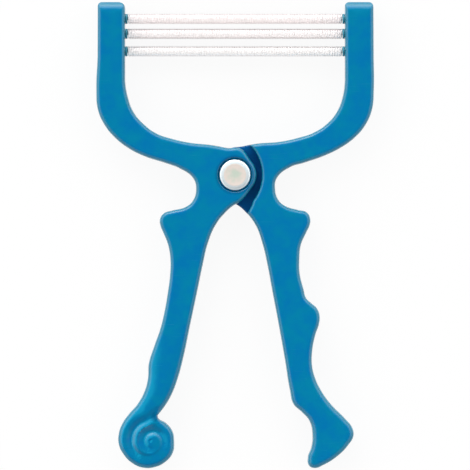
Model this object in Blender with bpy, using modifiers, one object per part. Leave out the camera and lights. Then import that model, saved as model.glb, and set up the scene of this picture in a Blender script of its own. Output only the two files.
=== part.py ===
"""Hand tool for removing fine facial hair with three springs.

Two moulded arms cross at a riveted lap joint. Each arm carries an upright
post, and three close-wound steel springs run from post to post. Squeezing
the handles spreads the posts.

The tool lies on its back: +Z is its front, +Y points from the pivot to the
posts, and the origin is on the pivot's axis, on the plane that it rests on.
"""

import math

import bmesh
import bpy
import numpy as np
from mathutils import Matrix, Vector

# Arms, in metres
ARM_THICKNESS = 0.0080
EDGE_RADIUS = 0.0009
POST_GAP = 0.0662
POST_WIDTH = 0.0087
POST_CORNER_RADIUS = 0.0012
JAW_HEIGHT = 0.0521
HANDLE_DROP = 0.08835
HANDLE_REACH = 0.0350
SCROLL_RADIUS = 0.0083
SCROLL_GROOVE_RADIUS = 0.0006

# Lap joint
LAP_CLEARANCE = 0.0003
LAP_STEP_GAP = 0.0016
LAP_STEP_RADIUS = 0.0127
LAP_FLARE_RADIUS = 0.0152
LAP_FLARE_SETBACK = 0.0020
LAP_FLARE_DROP = 0.0034
BOSS_WALL = 0.0014

# Rivet and washer
RIVET_HEAD_DIAMETER = 0.0093
RIVET_HEAD_HEIGHT = 0.0014
RIVET_HEAD_RISE = 0.0004
RIVET_HEAD_ROUND = 0.0009
RIVET_HEAD_FLAT_SHARE = 0.68
RIVET_SHANK_DIAMETER = 0.0040
RIVET_TAIL_DIAMETER = 0.0066
RIVET_TAIL_HEIGHT = 0.0008
WASHER_DIAMETER = 0.0090
WASHER_THICKNESS = 0.0006
RECESS_MARGIN = 0.0005
RECESS_LIP_RADIUS = 0.0003
SEAT_GAP = 0.0003

# Springs. The real wire is about 0.5 mm thick, close-wound in more than a
# hundred turns; here a thicker wire takes fewer turns in the same envelope.
SPRING_DIAMETER = 0.0032
WIRE_DIAMETER = 0.0013
SPRING_CURLS = 30
UPPER_SPRING_INSET = 0.0050
UPPER_SPRING_SPACING = 0.0045
LOWER_SPRING_SPACING = 0.0053

# Plugs that hold the springs' ends
PLUG_COLLAR_SETBACK = 0.0001
PLUG_COLLAR_LENGTH = 0.0007
PLUG_STEM_DIAMETER = 0.0020
PLUG_STEM_LENGTH = 0.0040

# How finely round shapes are divided
CURVE_STEPS = 3
TURNED_STEPS = 32
WIDE_TURNED_STEPS = 72
SMALL_TURNED_STEPS = 16
FILLET_STEPS = 3
CORNER_STEPS = 2
BOSS_STEPS = 3
POINTS_PER_CURL = 8
BEND_STEPS = 4
SAMPLES_PER_SEGMENT = 4
MILLIMETRES = 1000

# How far every cutter runs past the surface that it opens
OVERRUN = 0.0020
MERGE_DISTANCE = 0.000005
SHARP_ANGLE = math.radians(40)

# What an outline does at a point: bends smoothly, turns a corner, or runs
# straight from there to the next point
SMOOTH = "smooth"
CORNER = "corner"
LINE = "line"

# Places that follow from the sizes above
post_inner = POST_GAP / 2
post_outer = post_inner + POST_WIDTH
head_radius = RIVET_HEAD_DIAMETER / 2
boss_radius = head_radius + RECESS_MARGIN + BOSS_WALL
mid_height = ARM_THICKNESS / 2
lap_half_gap = LAP_CLEARANCE / 2
step_edge = boss_radius + LAP_STEP_GAP
step_place = (step_edge - LAP_STEP_RADIUS, 0)
flare_place = (step_edge - LAP_FLARE_SETBACK - LAP_FLARE_RADIUS, -LAP_FLARE_DROP)
scroll_u = HANDLE_REACH - SCROLL_RADIUS
scroll_v = SCROLL_RADIUS - HANDLE_DROP
spring_rows = {
    "upper": JAW_HEIGHT - UPPER_SPRING_INSET,
    "middle": JAW_HEIGHT - UPPER_SPRING_INSET - UPPER_SPRING_SPACING,
    "lower": JAW_HEIGHT - UPPER_SPRING_INSET - UPPER_SPRING_SPACING
    - LOWER_SPRING_SPACING,
}

# Outlines are drawn for one arm, with u outwards from the pivot to the arm's
# own side and v upwards. Each table is in shares of the sizes named with it.

# Round part of both lap bosses, between two angles
BOSS_ARC_DEGREES = (135, 225)

# Right arm: lap boss above and below its round part, of the boss radius
RIGHT_BOSS_TOP_SHARES = ((0.80, 1.41), (0.31, 1.31), (-0.23, 1.21))
RIGHT_BOSS_FOOT_SHARES = ((-0.17, -1.27), (0.05, -1.35))

# Right handle, boot, calf and finger notch, of the handle's reach and drop
RIGHT_INNER_SHARES = (
    (0.091, -0.126), (0.177, -0.171), (0.235, -0.232), (0.279, -0.306),
    (0.319, -0.391), (0.376, -0.510), (0.429, -0.628), (0.472, -0.733),
    (0.503, -0.781),
)
BOOT_SHARES = (
    (0.579, -0.810), (0.641, -0.839), (0.667, -0.889), (0.656, -0.930),
    (0.628, -0.961), (0.637, -0.991), (0.683, -1.000), (0.759, -0.990),
    (0.892, -0.956), (0.974, -0.922), (1.020, -0.890), (1.008, -0.861),
    (0.950, -0.832), (0.826, -0.782), (0.747, -0.739),
)
CALF_SHARES = (
    (0.693, -0.696), (0.664, -0.651), (0.665, -0.600), (0.692, -0.545),
    (0.722, -0.510), (0.729, -0.483), (0.707, -0.456), (0.650, -0.435),
    (0.612, -0.420), (0.590, -0.390),
)
RIGHT_NOTCH_SHARES = (
    (0.558, -0.339), (0.554, -0.289), (0.567, -0.239), (0.614, -0.196),
    (0.641, -0.173), (0.648, -0.151), (0.619, -0.128), (0.538, -0.119),
    (0.433, -0.106), (0.373, -0.085), (0.345, -0.047), (0.359, -0.012),
)

# Right jaw, of the post's outer or inner face and the jaw's height, and the
# reach of the post's top, of the post's outer face
RIGHT_JAW_OUTER_SHARES = (
    (0.398, 0.045), (0.497, 0.070), (0.653, 0.114), (0.768, 0.160),
    (0.866, 0.218), (0.941, 0.290), (0.988, 0.379), (1.001, 0.494),
    (1.000, 0.692),
)
RIGHT_POST_TAPER_SHARE = 0.998
RIGHT_JAW_INNER_SHARES = (
    (1.000, 0.544), (0.980, 0.451), (0.927, 0.364), (0.836, 0.295),
    (0.710, 0.243), (0.588, 0.217), (0.404, 0.192), (0.223, 0.183),
)

# Left arm: lap boss above and below its round part, of the boss radius
LEFT_BOSS_TOP_SHARES = ((0.81, 1.33), (0.32, 1.24), (-0.24, 1.23))
LEFT_BOSS_FOOT_SHARES = ((-0.18, -1.29), (0.03, -1.38))

# Left handle and finger notch, of the handle's reach and drop
LEFT_INNER_SHARES = (
    (0.080, -0.127), (0.166, -0.170), (0.233, -0.232), (0.278, -0.306),
    (0.322, -0.391), (0.386, -0.511), (0.444, -0.621), (0.489, -0.689),
    (0.545, -0.748),
)
LEFT_OUTER_SHARES = (
    (0.774, -0.733), (0.749, -0.691), (0.743, -0.645), (0.692, -0.580),
    (0.644, -0.526), (0.612, -0.475), (0.581, -0.407),
)
LEFT_NOTCH_SHARES = (
    (0.559, -0.339), (0.556, -0.289), (0.576, -0.239), (0.618, -0.196),
    (0.642, -0.173), (0.646, -0.151), (0.613, -0.131), (0.537, -0.121),
    (0.429, -0.110), (0.363, -0.088), (0.335, -0.047), (0.359, -0.012),
)

# Scroll foot, from its centre, of its radius: the neck's two sides, the
# notch under the neck, and the ring's edge as (degrees, radius)
NECK_INNER_SHARES = ((-0.701, 1.298), (-0.504, 1.035))
NECK_NOTCH_SHARES = (-0.409, 0.918)
NECK_OUTER_SHARES = ((0.616, 0.985), (0.326, 1.318))
RING_SHARES = (
    (118, 0.923), (137, 0.951), (159, 1.003), (181, 1.006), (205, 1.055),
    (229, 1.038), (254, 1.011), (278, 0.995), (303, 0.968), (327, 0.968),
    (351, 1.010), (375, 1.036), (397, 1.074),
)

# Groove between the scroll's turns, from the scroll's centre, of its radius
GROOVE_SHARES = (
    (-0.40, 1.00), (-0.05, 0.76), (0.34, 0.52), (0.53, 0.14), (0.47, -0.28),
    (0.17, -0.54), (-0.22, -0.56), (-0.53, -0.34), (-0.61, -0.02),
    (-0.46, 0.26), (-0.16, 0.32), (0.06, 0.14), (0.06, -0.12),
    (-0.12, -0.30), (-0.33, -0.28),
)

# Left jaw, as the right one
LEFT_JAW_OUTER_SHARES = (
    (0.402, 0.039), (0.498, 0.068), (0.656, 0.109), (0.771, 0.156),
    (0.867, 0.217), (0.941, 0.290), (0.989, 0.379), (1.000, 0.494),
    (0.991, 0.692),
)
LEFT_POST_TAPER_SHARE = 0.990
LEFT_JAW_INNER_SHARES = (
    (1.000, 0.544), (0.976, 0.451), (0.925, 0.365), (0.835, 0.296),
    (0.712, 0.239), (0.590, 0.212), (0.405, 0.186), (0.224, 0.174),
)

# Colours, linear, with roughness and metallic value
BLUE_PLASTIC = ((0.0015, 0.202, 0.418, 1.0), 0.32, 0.0)
DARK_PLASTIC = ((0.007, 0.052, 0.090, 1.0), 0.45, 0.0)
SPRING_STEEL = ((0.78, 0.76, 0.75, 1.0), 0.22, 1.0)
RIVET_STEEL = ((0.80, 0.80, 0.77, 1.0), 0.25, 1.0)


def clear_scene():
    """Removes every object that the opened file holds."""
    for item in list(bpy.data.objects):
        bpy.data.objects.remove(item, do_unlink=True)


def new_collection(name):
    """A collection of its own, linked to the scene."""
    collection = bpy.data.collections.new(name)
    bpy.context.scene.collection.children.link(collection)
    return collection


def new_material(name, finish):
    """A Principled material from a colour, a roughness and a metallic value."""
    colour, roughness, metallic = finish
    material = bpy.data.materials.new(name)
    material.use_nodes = True
    shader = material.node_tree.nodes["Principled BSDF"]
    shader.inputs["Base Color"].default_value = colour
    shader.inputs["Roughness"].default_value = roughness
    shader.inputs["Metallic"].default_value = metallic
    material.diffuse_color = colour
    return material


def scaled(shares, width, height):
    """Smooth outline points in metres from a table of shares."""
    return [(u * width, v * height, SMOOTH) for u, v in shares]


def around(centre, radius, shares, kind=SMOOTH):
    """Outline points in metres from shares of a radius, about a centre."""
    return [(centre[0] + u * radius, centre[1] + v * radius, kind) for u, v in shares]


def polar(centre, radius, degrees):
    """The smooth outline point at an angle on a circle."""
    angle = math.radians(degrees)
    along = centre[0] + radius * math.cos(angle)
    return (along, centre[1] + radius * math.sin(angle), SMOOTH)


def arc(centre, radius, start, stop, steps):
    """Evenly spaced outline points along an arc, its ends included."""
    turn = (stop - start) / steps
    return [polar(centre, radius, start + turn * i) for i in range(steps + 1)]


def then_line(points):
    """The same points, with a straight run after the last one."""
    u, v, _ = points[-1]
    return points[:-1] + [(u, v, LINE)]


def boss_edge(top_shares, foot_shares):
    """Lap boss from the jaw's inner edge round to the crotch."""
    top = around((0, 0), boss_radius, top_shares)
    foot = around((0, 0), boss_radius, foot_shares)
    return top + arc((0, 0), boss_radius, *BOSS_ARC_DEGREES, BOSS_STEPS) + foot


def jaw_edge(outer_shares, taper_share, inner_shares):
    """Jaw and post, from the finger notch up, over and down to the boss."""
    outer = scaled(outer_shares, post_outer, JAW_HEIGHT)
    inner = scaled(inner_shares, post_inner, JAW_HEIGHT)
    radius = POST_CORNER_RADIUS
    shoulder = JAW_HEIGHT - radius
    outer_corner = (post_outer * taper_share - radius, shoulder)
    inner_corner = (post_inner + radius, shoulder)
    crown = then_line(arc(outer_corner, radius, 0, 90, CORNER_STEPS))
    crown += then_line(arc(inner_corner, radius, 90, 180, CORNER_STEPS))
    return then_line(outer) + crown + inner


def right_outline():
    """Closed outline of the right arm, counterclockwise."""
    handle_shares = RIGHT_INNER_SHARES + BOOT_SHARES + CALF_SHARES + RIGHT_NOTCH_SHARES
    points = boss_edge(RIGHT_BOSS_TOP_SHARES, RIGHT_BOSS_FOOT_SHARES)
    points += scaled(handle_shares, HANDLE_REACH, HANDLE_DROP)
    return points + jaw_edge(
        RIGHT_JAW_OUTER_SHARES, RIGHT_POST_TAPER_SHARE, RIGHT_JAW_INNER_SHARES
    )


def left_outline():
    """Closed outline of the left arm, in its own u and v."""
    centre = (scroll_u, scroll_v)
    points = boss_edge(LEFT_BOSS_TOP_SHARES, LEFT_BOSS_FOOT_SHARES)
    points += scaled(LEFT_INNER_SHARES, HANDLE_REACH, HANDLE_DROP)
    points += around(centre, SCROLL_RADIUS, NECK_INNER_SHARES)
    points += around(centre, SCROLL_RADIUS, [NECK_NOTCH_SHARES], CORNER)
    points += [polar(centre, SCROLL_RADIUS * share, turn) for turn, share in RING_SHARES]
    points += around(centre, SCROLL_RADIUS, NECK_OUTER_SHARES)
    points += scaled(LEFT_OUTER_SHARES + LEFT_NOTCH_SHARES, HANDLE_REACH, HANDLE_DROP)
    return points + jaw_edge(
        LEFT_JAW_OUTER_SHARES, LEFT_POST_TAPER_SHARE, LEFT_JAW_INNER_SHARES
    )


def settled(item, collection):
    """Replaces an object by a welded mesh of the same shape and name."""
    bpy.context.view_layer.update()
    depsgraph = bpy.context.evaluated_depsgraph_get()
    mesh = bpy.data.meshes.new_from_object(item.evaluated_get(depsgraph))
    work = bmesh.new()
    work.from_mesh(mesh)
    bmesh.ops.remove_doubles(work, verts=work.verts, dist=MERGE_DISTANCE)
    bmesh.ops.recalc_face_normals(work, faces=work.faces)
    work.to_mesh(mesh)
    work.free()
    name = item.name
    place = item.matrix_world.copy()
    bpy.data.objects.remove(item, do_unlink=True)
    solid = bpy.data.objects.new(name, mesh)
    solid.matrix_world = place
    collection.objects.link(solid)
    return solid


def bend_through(spline, outline, side):
    """Runs a closed spline through an outline, on one side of the pivot."""
    spline.bezier_points.add(len(outline) - 1)
    spline.use_cyclic_u = True
    for index, (u, v, kind) in enumerate(outline):
        point = spline.bezier_points[index]
        point.co = (side * u, v, 0)
        arrives = kind == CORNER or outline[index - 1][2] == LINE
        leaves = kind in (CORNER, LINE)
        point.handle_left_type = "VECTOR" if arrives else "AUTO"
        point.handle_right_type = "VECTOR" if leaves else "AUTO"


def moulded_plate(name, outline, side, collection):
    """Flat body with rounded edges, on one side of the pivot."""
    data = bpy.data.curves.new(name, "CURVE")
    data.dimensions = "2D"
    data.fill_mode = "BOTH"
    data.resolution_u = CURVE_STEPS
    data.extrude = mid_height - EDGE_RADIUS
    data.bevel_depth = EDGE_RADIUS
    data.bevel_resolution = 1
    data.offset = -EDGE_RADIUS
    bend_through(data.splines.new("BEZIER"), outline, side)
    item = bpy.data.objects.new(name, data)
    item.location = (0, 0, mid_height)
    collection.objects.link(item)
    return settled(item, collection)


def turned(name, profile, steps, collection):
    """Body turned about its own Z axis, its profile given from the top down."""
    mesh = bpy.data.meshes.new(name)
    edges = [(i, i + 1) for i in range(len(profile) - 1)]
    mesh.from_pydata([(radius, 0, height) for radius, height in profile], edges, [])
    item = bpy.data.objects.new(name, mesh)
    collection.objects.link(item)
    screw = item.modifiers.new("Turned", "SCREW")
    screw.axis = "Z"
    screw.angle = math.tau
    screw.steps = steps
    screw.render_steps = steps
    screw.use_merge_vertices = True
    screw.merge_threshold = MERGE_DISTANCE
    return item


def quarter(centre, radius, start, stop):
    """Profile points of a rounded corner, from one angle to the other."""
    return [point[:2] for point in arc(centre, radius, start, stop, FILLET_STEPS)]


def as_cutter(item):
    """Marks an object as a cutter that isn't part of the tool."""
    item.hide_render = True
    item.display_type = "WIRE"
    return item


def cut(item, cutter):
    """Takes a cutter's shape out of an object."""
    modifier = item.modifiers.new("Cut " + cutter.name, "BOOLEAN")
    modifier.operation = "DIFFERENCE"
    modifier.solver = "EXACT"
    modifier.object = cutter


def lap_cutter(name, radius, place, side, cutters):
    """Disc that frees half of an arm's thickness for the other arm."""
    lip = radius + EDGE_RADIUS
    depth = mid_height + lap_half_gap
    profile = [(0, depth + OVERRUN), (lip, depth + OVERRUN)]
    profile += quarter((lip, depth - EDGE_RADIUS), EDGE_RADIUS, 90, 180)
    profile += [(radius, 0), (0, 0)]
    item = turned(f"{name}_{side_name(side)}", profile, WIDE_TURNED_STEPS, cutters)
    item.location = (side * place[0], place[1], mid_height - side * lap_half_gap)
    if side < 0:
        item.rotation_euler = (math.pi, 0, 0)
    return as_cutter(item)


def cut_lap(arm, side, cutters):
    """Steps an arm at the pivot, more widely below it, where handles close."""
    cut(arm, lap_cutter("lap_step", LAP_STEP_RADIUS, step_place, side, cutters))
    cut(arm, lap_cutter("lap_flare", LAP_FLARE_RADIUS, flare_place, side, cutters))


def side_name(side):
    """The word for a side of the tool."""
    return "right" if side > 0 else "left"


def recess_profile(radius, floor, face):
    """Profile of a round recess with a rounded lip, opened from its face."""
    lip = radius + RECESS_LIP_RADIUS
    profile = [(0, face + OVERRUN), (lip, face + OVERRUN)]
    profile += quarter((lip, face - RECESS_LIP_RADIUS), RECESS_LIP_RADIUS, 90, 180)
    return profile + [(radius, floor), (0, floor)]


def head_seat():
    """Height of the floor of the recess under the rivet's head."""
    return ARM_THICKNESS + RIVET_HEAD_RISE - RIVET_HEAD_HEIGHT - SEAT_GAP


def washer_seat():
    """Depth of the recess that the washer lies in, from the rear face."""
    return RIVET_TAIL_HEIGHT + SEAT_GAP + WASHER_THICKNESS + SEAT_GAP


def head_recess_cutter(cutters):
    """Recess in the left arm's front for the rivet's head."""
    profile = recess_profile(head_radius + RECESS_MARGIN, head_seat(), ARM_THICKNESS)
    return as_cutter(turned("head_recess", profile, TURNED_STEPS, cutters))


def washer_recess_cutter(cutters):
    """Recess in the right arm's back for the washer and the rivet's tail."""
    profile = recess_profile(WASHER_DIAMETER / 2 + RECESS_MARGIN, -washer_seat(), 0)
    item = turned("washer_recess", profile, TURNED_STEPS, cutters)
    item.rotation_euler = (math.pi, 0, 0)
    return as_cutter(item)


def bore_cutter(cutters):
    """Bore through both bosses for the rivet's shank."""
    radius = RIVET_SHANK_DIAMETER / 2 + SEAT_GAP
    top = ARM_THICKNESS + OVERRUN
    profile = [(0, top), (radius, top), (radius, -OVERRUN), (0, -OVERRUN)]
    return as_cutter(turned("rivet_bore", profile, TURNED_STEPS, cutters))


def socket_cutter(side, row, height, cutters):
    """Hole in a post's inner face for a plug's stem."""
    radius = PLUG_STEM_DIAMETER / 2 + SEAT_GAP
    depth = PLUG_STEM_LENGTH
    profile = [(0, depth), (radius, depth), (radius, -OVERRUN), (0, -OVERRUN)]
    name = f"{side_name(side)}_{row}_socket"
    item = turned(name, profile, SMALL_TURNED_STEPS, cutters)
    item.matrix_world = facing_out(side, post_inner, height)
    return as_cutter(item)


def facing_out(side, distance, height):
    """Place on a post's inner face, with local Z pointing into the post."""
    place = Matrix.Translation((side * distance, height, mid_height))
    return place @ Matrix.Rotation(side * math.pi / 2, 4, "Y")


def groove_cutter(side, front, cutters):
    """Spiral groove between the turns of the scroll foot, on one face."""
    name = "front_groove" if front else "rear_groove"
    data = bpy.data.curves.new(name, "CURVE")
    data.dimensions = "3D"
    data.resolution_u = CURVE_STEPS
    data.bevel_depth = SCROLL_GROOVE_RADIUS
    data.bevel_resolution = 1
    data.use_fill_caps = True
    points = around((scroll_u, scroll_v), SCROLL_RADIUS, GROOVE_SHARES)
    spline = data.splines.new("BEZIER")
    spline.bezier_points.add(len(points) - 1)
    for point, (u, v, _) in zip(spline.bezier_points, points):
        point.co = (side * u, v, 0)
        point.handle_left_type = "AUTO"
        point.handle_right_type = "AUTO"
    item = bpy.data.objects.new(name, data)
    item.location = (0, 0, ARM_THICKNESS if front else 0)
    cutters.objects.link(item)
    return as_cutter(settled(item, cutters))


def finish_solid(item, material):
    """Gives a solid its material and smooth shading with sharp edges kept."""
    item.data.materials.append(material)
    item.data.shade_smooth()
    item.data.set_sharp_from_angle(angle=SHARP_ANGLE)
    return item


def make_left_arm(parts, cutters, material):
    """Left arm: front half of the lap joint, scroll foot."""
    arm = moulded_plate("left_arm", left_outline(), -1, parts)
    finish_solid(arm, material)
    cut_lap(arm, -1, cutters)
    cut(arm, head_recess_cutter(cutters))
    cut(arm, cutters.objects["rivet_bore"])
    cut(arm, groove_cutter(-1, True, cutters))
    cut(arm, groove_cutter(-1, False, cutters))
    for row, height in spring_rows.items():
        cut(arm, socket_cutter(-1, row, height, cutters))
    return arm


def make_right_arm(parts, cutters, material):
    """Right arm: rear half of the lap joint, boot-shaped foot."""
    arm = moulded_plate("right_arm", right_outline(), 1, parts)
    finish_solid(arm, material)
    cut_lap(arm, 1, cutters)
    cut(arm, washer_recess_cutter(cutters))
    cut(arm, cutters.objects["rivet_bore"])
    for row, height in spring_rows.items():
        cut(arm, socket_cutter(1, row, height, cutters))
    return arm


def make_rivet(parts, material):
    """Rivet with a low rounded head at the front and a peened tail."""
    top = ARM_THICKNESS + RIVET_HEAD_RISE
    under = top - RIVET_HEAD_HEIGHT
    flat = head_radius * RIVET_HEAD_FLAT_SHARE
    shank = RIVET_SHANK_DIAMETER / 2
    tail_radius = RIVET_TAIL_DIAMETER / 2
    tail_rim = RIVET_TAIL_HEIGHT / 2
    profile = [(0, top)]
    for across, drop in quarter((0, 0), 1, 90, 0):
        reach = flat + (head_radius - flat) * across
        profile.append((reach, top - RIVET_HEAD_ROUND * (1 - drop)))
    profile += [(head_radius, under), (shank, under), (shank, RIVET_TAIL_HEIGHT)]
    profile += [(tail_radius, RIVET_TAIL_HEIGHT)]
    profile += quarter((tail_radius - tail_rim, tail_rim), tail_rim, 0, -90)
    profile += [(0, 0)]
    item = settled(turned("pivot_rivet", profile, TURNED_STEPS, parts), parts)
    return finish_solid(item, material)


def make_washer(parts, material):
    """Flat washer between the rivet's tail and the right arm."""
    low = RIVET_TAIL_HEIGHT + SEAT_GAP
    high = low + WASHER_THICKNESS
    outer = WASHER_DIAMETER / 2
    inner = RIVET_SHANK_DIAMETER / 2 + SEAT_GAP
    profile = [(inner, low), (inner, high), (outer, high), (outer, low), (inner, low)]
    item = settled(turned("rivet_washer", profile, TURNED_STEPS, parts), parts)
    return finish_solid(item, material)


def make_plug(side, row, height, parts, material):
    """Plug with its stem in the post and its collar against the post's face."""
    collar = SPRING_DIAMETER / 2 - PLUG_COLLAR_SETBACK
    stem = PLUG_STEM_DIAMETER / 2
    profile = [
        (0, PLUG_STEM_LENGTH - SEAT_GAP),
        (stem, PLUG_STEM_LENGTH - SEAT_GAP),
        (stem, -SEAT_GAP),
        (collar, -SEAT_GAP),
        (collar, -SEAT_GAP - PLUG_COLLAR_LENGTH),
        (0, -SEAT_GAP - PLUG_COLLAR_LENGTH),
    ]
    name = f"{side_name(side)}_{row}_plug"
    item = turned(name, profile, SMALL_TURNED_STEPS, parts)
    item.matrix_world = facing_out(side, post_inner, height)
    return finish_solid(settled(item, parts), material)


def spring_points(half_length):
    """Centreline of a spring along X, its two straight ends included."""
    radius = (SPRING_DIAMETER - WIRE_DIAMETER) / 2
    turn = math.tau / POINTS_PER_CURL
    steps = SPRING_CURLS * POINTS_PER_CURL
    headings = [math.pi / 2 * step / BEND_STEPS for step in range(1, BEND_STEPS)]
    bend = [(radius * turn * math.cos(h), turn * math.sin(h)) for h in headings]
    bend_length = sum(forward for forward, _ in bend)
    coil_length = 2 * (half_length - WIRE_DIAMETER - bend_length)
    moves = [(WIRE_DIAMETER, 0)] + bend
    moves += [(coil_length / steps, turn)] * steps
    moves += bend[::-1] + [(WIRE_DIAMETER, 0)]
    along, angle = -half_length, 0
    places = [(along, angle)]
    for forward, round_axis in moves:
        along += forward
        angle += round_axis
        places.append((along, angle))
    return [Vector((x, radius * math.cos(a), radius * math.sin(a))) for x, a in places]


def least_gap(points):
    """Least free distance between the turns of a wire, from points along it."""
    samples = []
    for first, second in zip(points, points[1:]):
        for step in range(SAMPLES_PER_SEGMENT):
            samples.append(first.lerp(second, step / SAMPLES_PER_SEGMENT))
    cloud = np.array(samples)
    skip = POINTS_PER_CURL * SAMPLES_PER_SEGMENT // 2
    least = math.inf
    for index in range(len(cloud) - skip):
        rest = cloud[index + skip:] - cloud[index]
        least = min(least, float(np.sqrt((rest ** 2).sum(axis=1)).min()))
    return least - WIRE_DIAMETER


def make_spring(row, height, parts, material):
    """Spring between the collars of a left and a right plug."""
    half_length = post_inner - PLUG_COLLAR_LENGTH - 2 * SEAT_GAP
    points = spring_points(half_length)
    name = f"{row}_spring"
    data = bpy.data.curves.new(name, "CURVE")
    data.dimensions = "3D"
    data.bevel_depth = WIRE_DIAMETER / 2
    data.bevel_resolution = 1
    data.use_fill_caps = True
    spline = data.splines.new("POLY")
    spline.points.add(len(points) - 1)
    for place, point in zip(points, spline.points):
        point.co = (*place, 1)
    spline.use_smooth = True
    item = bpy.data.objects.new(name, data)
    item.location = (0, height, mid_height)
    item.data.materials.append(material)
    parts.objects.link(item)
    gap = least_gap(points)
    print(f"{name}: {SPRING_CURLS} curls, least gap {gap * MILLIMETRES:.2f} mm")
    return item


def main():
    """Builds every piece and hangs each on the empty of its moving body."""
    clear_scene()
    parts = new_collection("facial_hair_removal_spring")
    cutters = new_collection("cutters")
    blue = new_material("blue_plastic", BLUE_PLASTIC)
    dark = new_material("dark_plastic", DARK_PLASTIC)
    spring_steel = new_material("spring_steel", SPRING_STEEL)
    rivet_steel = new_material("rivet_steel", RIVET_STEEL)
    bodies = {}
    for side in (-1, 1):
        body = bpy.data.objects.new(f"{side_name(side)}_body", None)
        parts.objects.link(body)
        bodies[side] = body
    bore_cutter(cutters)
    make_left_arm(parts, cutters, blue).parent = bodies[-1]
    make_right_arm(parts, cutters, blue).parent = bodies[1]
    make_rivet(parts, rivet_steel).parent = bodies[-1]
    make_washer(parts, rivet_steel).parent = bodies[-1]
    for row, height in spring_rows.items():
        make_spring(row, height, parts, spring_steel).parent = bodies[-1]
        for side in (-1, 1):
            make_plug(side, row, height, parts, dark).parent = bodies[side]


main()
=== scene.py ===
# %% [markdown]
# # A hand tool that rolls springs over the skin
#
# The real object is a pair of moulded blue arms, riveted together like pliers.
# Three close-wound springs run between the two posts at the top, and a squeeze
# of the handles spreads the posts and draws the springs out.
#
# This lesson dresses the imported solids. The frame comes first, because each
# finer piece has to sit where its solid sits and move with the same body. The
# box of the solids is kept, so that the dressed tool can be held against it at
# the end.

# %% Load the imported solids
import math

import bmesh
import bpy
import numpy as np
from mathutils import Matrix, Vector
from mathutils.geometry import delaunay_2d_cdt


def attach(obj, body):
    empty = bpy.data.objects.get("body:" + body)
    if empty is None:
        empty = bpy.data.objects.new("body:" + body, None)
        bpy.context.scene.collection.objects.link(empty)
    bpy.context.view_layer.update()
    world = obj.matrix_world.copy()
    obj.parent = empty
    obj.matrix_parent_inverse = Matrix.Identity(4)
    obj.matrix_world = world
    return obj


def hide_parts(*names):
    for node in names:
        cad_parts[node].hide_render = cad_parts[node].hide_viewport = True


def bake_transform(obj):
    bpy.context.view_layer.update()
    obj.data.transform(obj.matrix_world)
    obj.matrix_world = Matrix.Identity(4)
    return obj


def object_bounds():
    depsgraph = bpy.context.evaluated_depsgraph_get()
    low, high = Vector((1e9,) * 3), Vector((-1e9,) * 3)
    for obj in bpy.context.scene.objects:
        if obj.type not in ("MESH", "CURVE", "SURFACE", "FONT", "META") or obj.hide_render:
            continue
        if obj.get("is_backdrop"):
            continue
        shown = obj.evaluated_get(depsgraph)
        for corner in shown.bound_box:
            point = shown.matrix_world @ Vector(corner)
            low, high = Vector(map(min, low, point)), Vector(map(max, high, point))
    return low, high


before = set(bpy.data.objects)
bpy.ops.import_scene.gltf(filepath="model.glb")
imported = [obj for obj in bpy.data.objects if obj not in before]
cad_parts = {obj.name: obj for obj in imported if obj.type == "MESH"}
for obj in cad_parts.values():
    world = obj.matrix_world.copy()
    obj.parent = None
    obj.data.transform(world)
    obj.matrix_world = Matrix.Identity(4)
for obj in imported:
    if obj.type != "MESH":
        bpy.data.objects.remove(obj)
solid_box = [list(corner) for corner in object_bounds()]

# %% [markdown]
# ## Sizes
#
# The plan of the tool is worked out in millimetres, which suit a thing that
# fits in a hand, and turned into Blender's metres when a mesh is made. Most
# sizes are those of the solids. A few differ from them by a hair, where the
# finished piece is rounder, and others belong to details that only show on the
# finished surface, such as the soft edge at the top of a post.

# %% Sizes in millimetres
MM = 0.001
THICKNESS = 8.0
MID_HEIGHT = THICKNESS / 2
EDGE_ROUND = 0.9
POST_INNER = 33.1
POST_OUTER = 41.8
JAW_HEIGHT = 52.1
HANDLE_REACH = 35.0
HANDLE_DROP = 88.35
SCROLL_RADIUS = 8.3
SCROLL_CENTRE = (HANDLE_REACH - SCROLL_RADIUS, SCROLL_RADIUS - HANDLE_DROP)
NOTCH_HOLLOW = (-24.1, -72.9)

BOSS_RADIUS = 6.55
LAP_HALF_GAP = 0.15
LAP_DISCS = ((-4.55, 0.0, 12.7), (-9.05, -3.4, 15.2))

HEAD_RADIUS = 4.65
HEAD_TOP = 8.4
HEAD_RECESS_RADIUS = 5.15
HEAD_RECESS_FLOOR = 7.3
HEAD_UNDERSIDE = 7.5
SHANK_RADIUS = 2.0
BORE_RADIUS = 2.3
TAIL_RADIUS = 3.3
TAIL_HEIGHT = 0.8
WASHER_RADIUS = 4.5
WASHER_LOW = 1.1
WASHER_HIGH = 1.7
WASHER_RECESS_RADIUS = 5.0
WASHER_RECESS_DEPTH = 2.0
LIP_ROUND = 0.3

SPRING_ROWS = {"upper": 47.03, "middle": 42.55, "lower": 37.25}
SPRING_RADIUS = 1.54
COLLAR_RADIUS = 1.5
COLLAR_BACK = 33.05
STEM_RADIUS = 1.0
STEM_END = 36.8


def metres(points):
    """Points in millimetres as Blender's metres."""
    return np.asarray(points, float) * MM


print("centre of the scroll foot, in millimetres:", SCROLL_CENTRE)

# %% [markdown]
# ## Shader maths as sums
#
# A material is a graph of nodes, and a long one is hard to read when each node
# is made and linked by hand. `Socket` wraps the output of a node. Adding or
# multiplying two of them adds the Math node that does it, so `1 - mask` in the
# script is one Subtract node in the graph. Every other kind of node comes from
# `node`, which sets the node up first and then fills its sockets. Short methods
# ask it for the nodes that the finishes need again and again, such as one part
# of a vector or a soft step.

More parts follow.
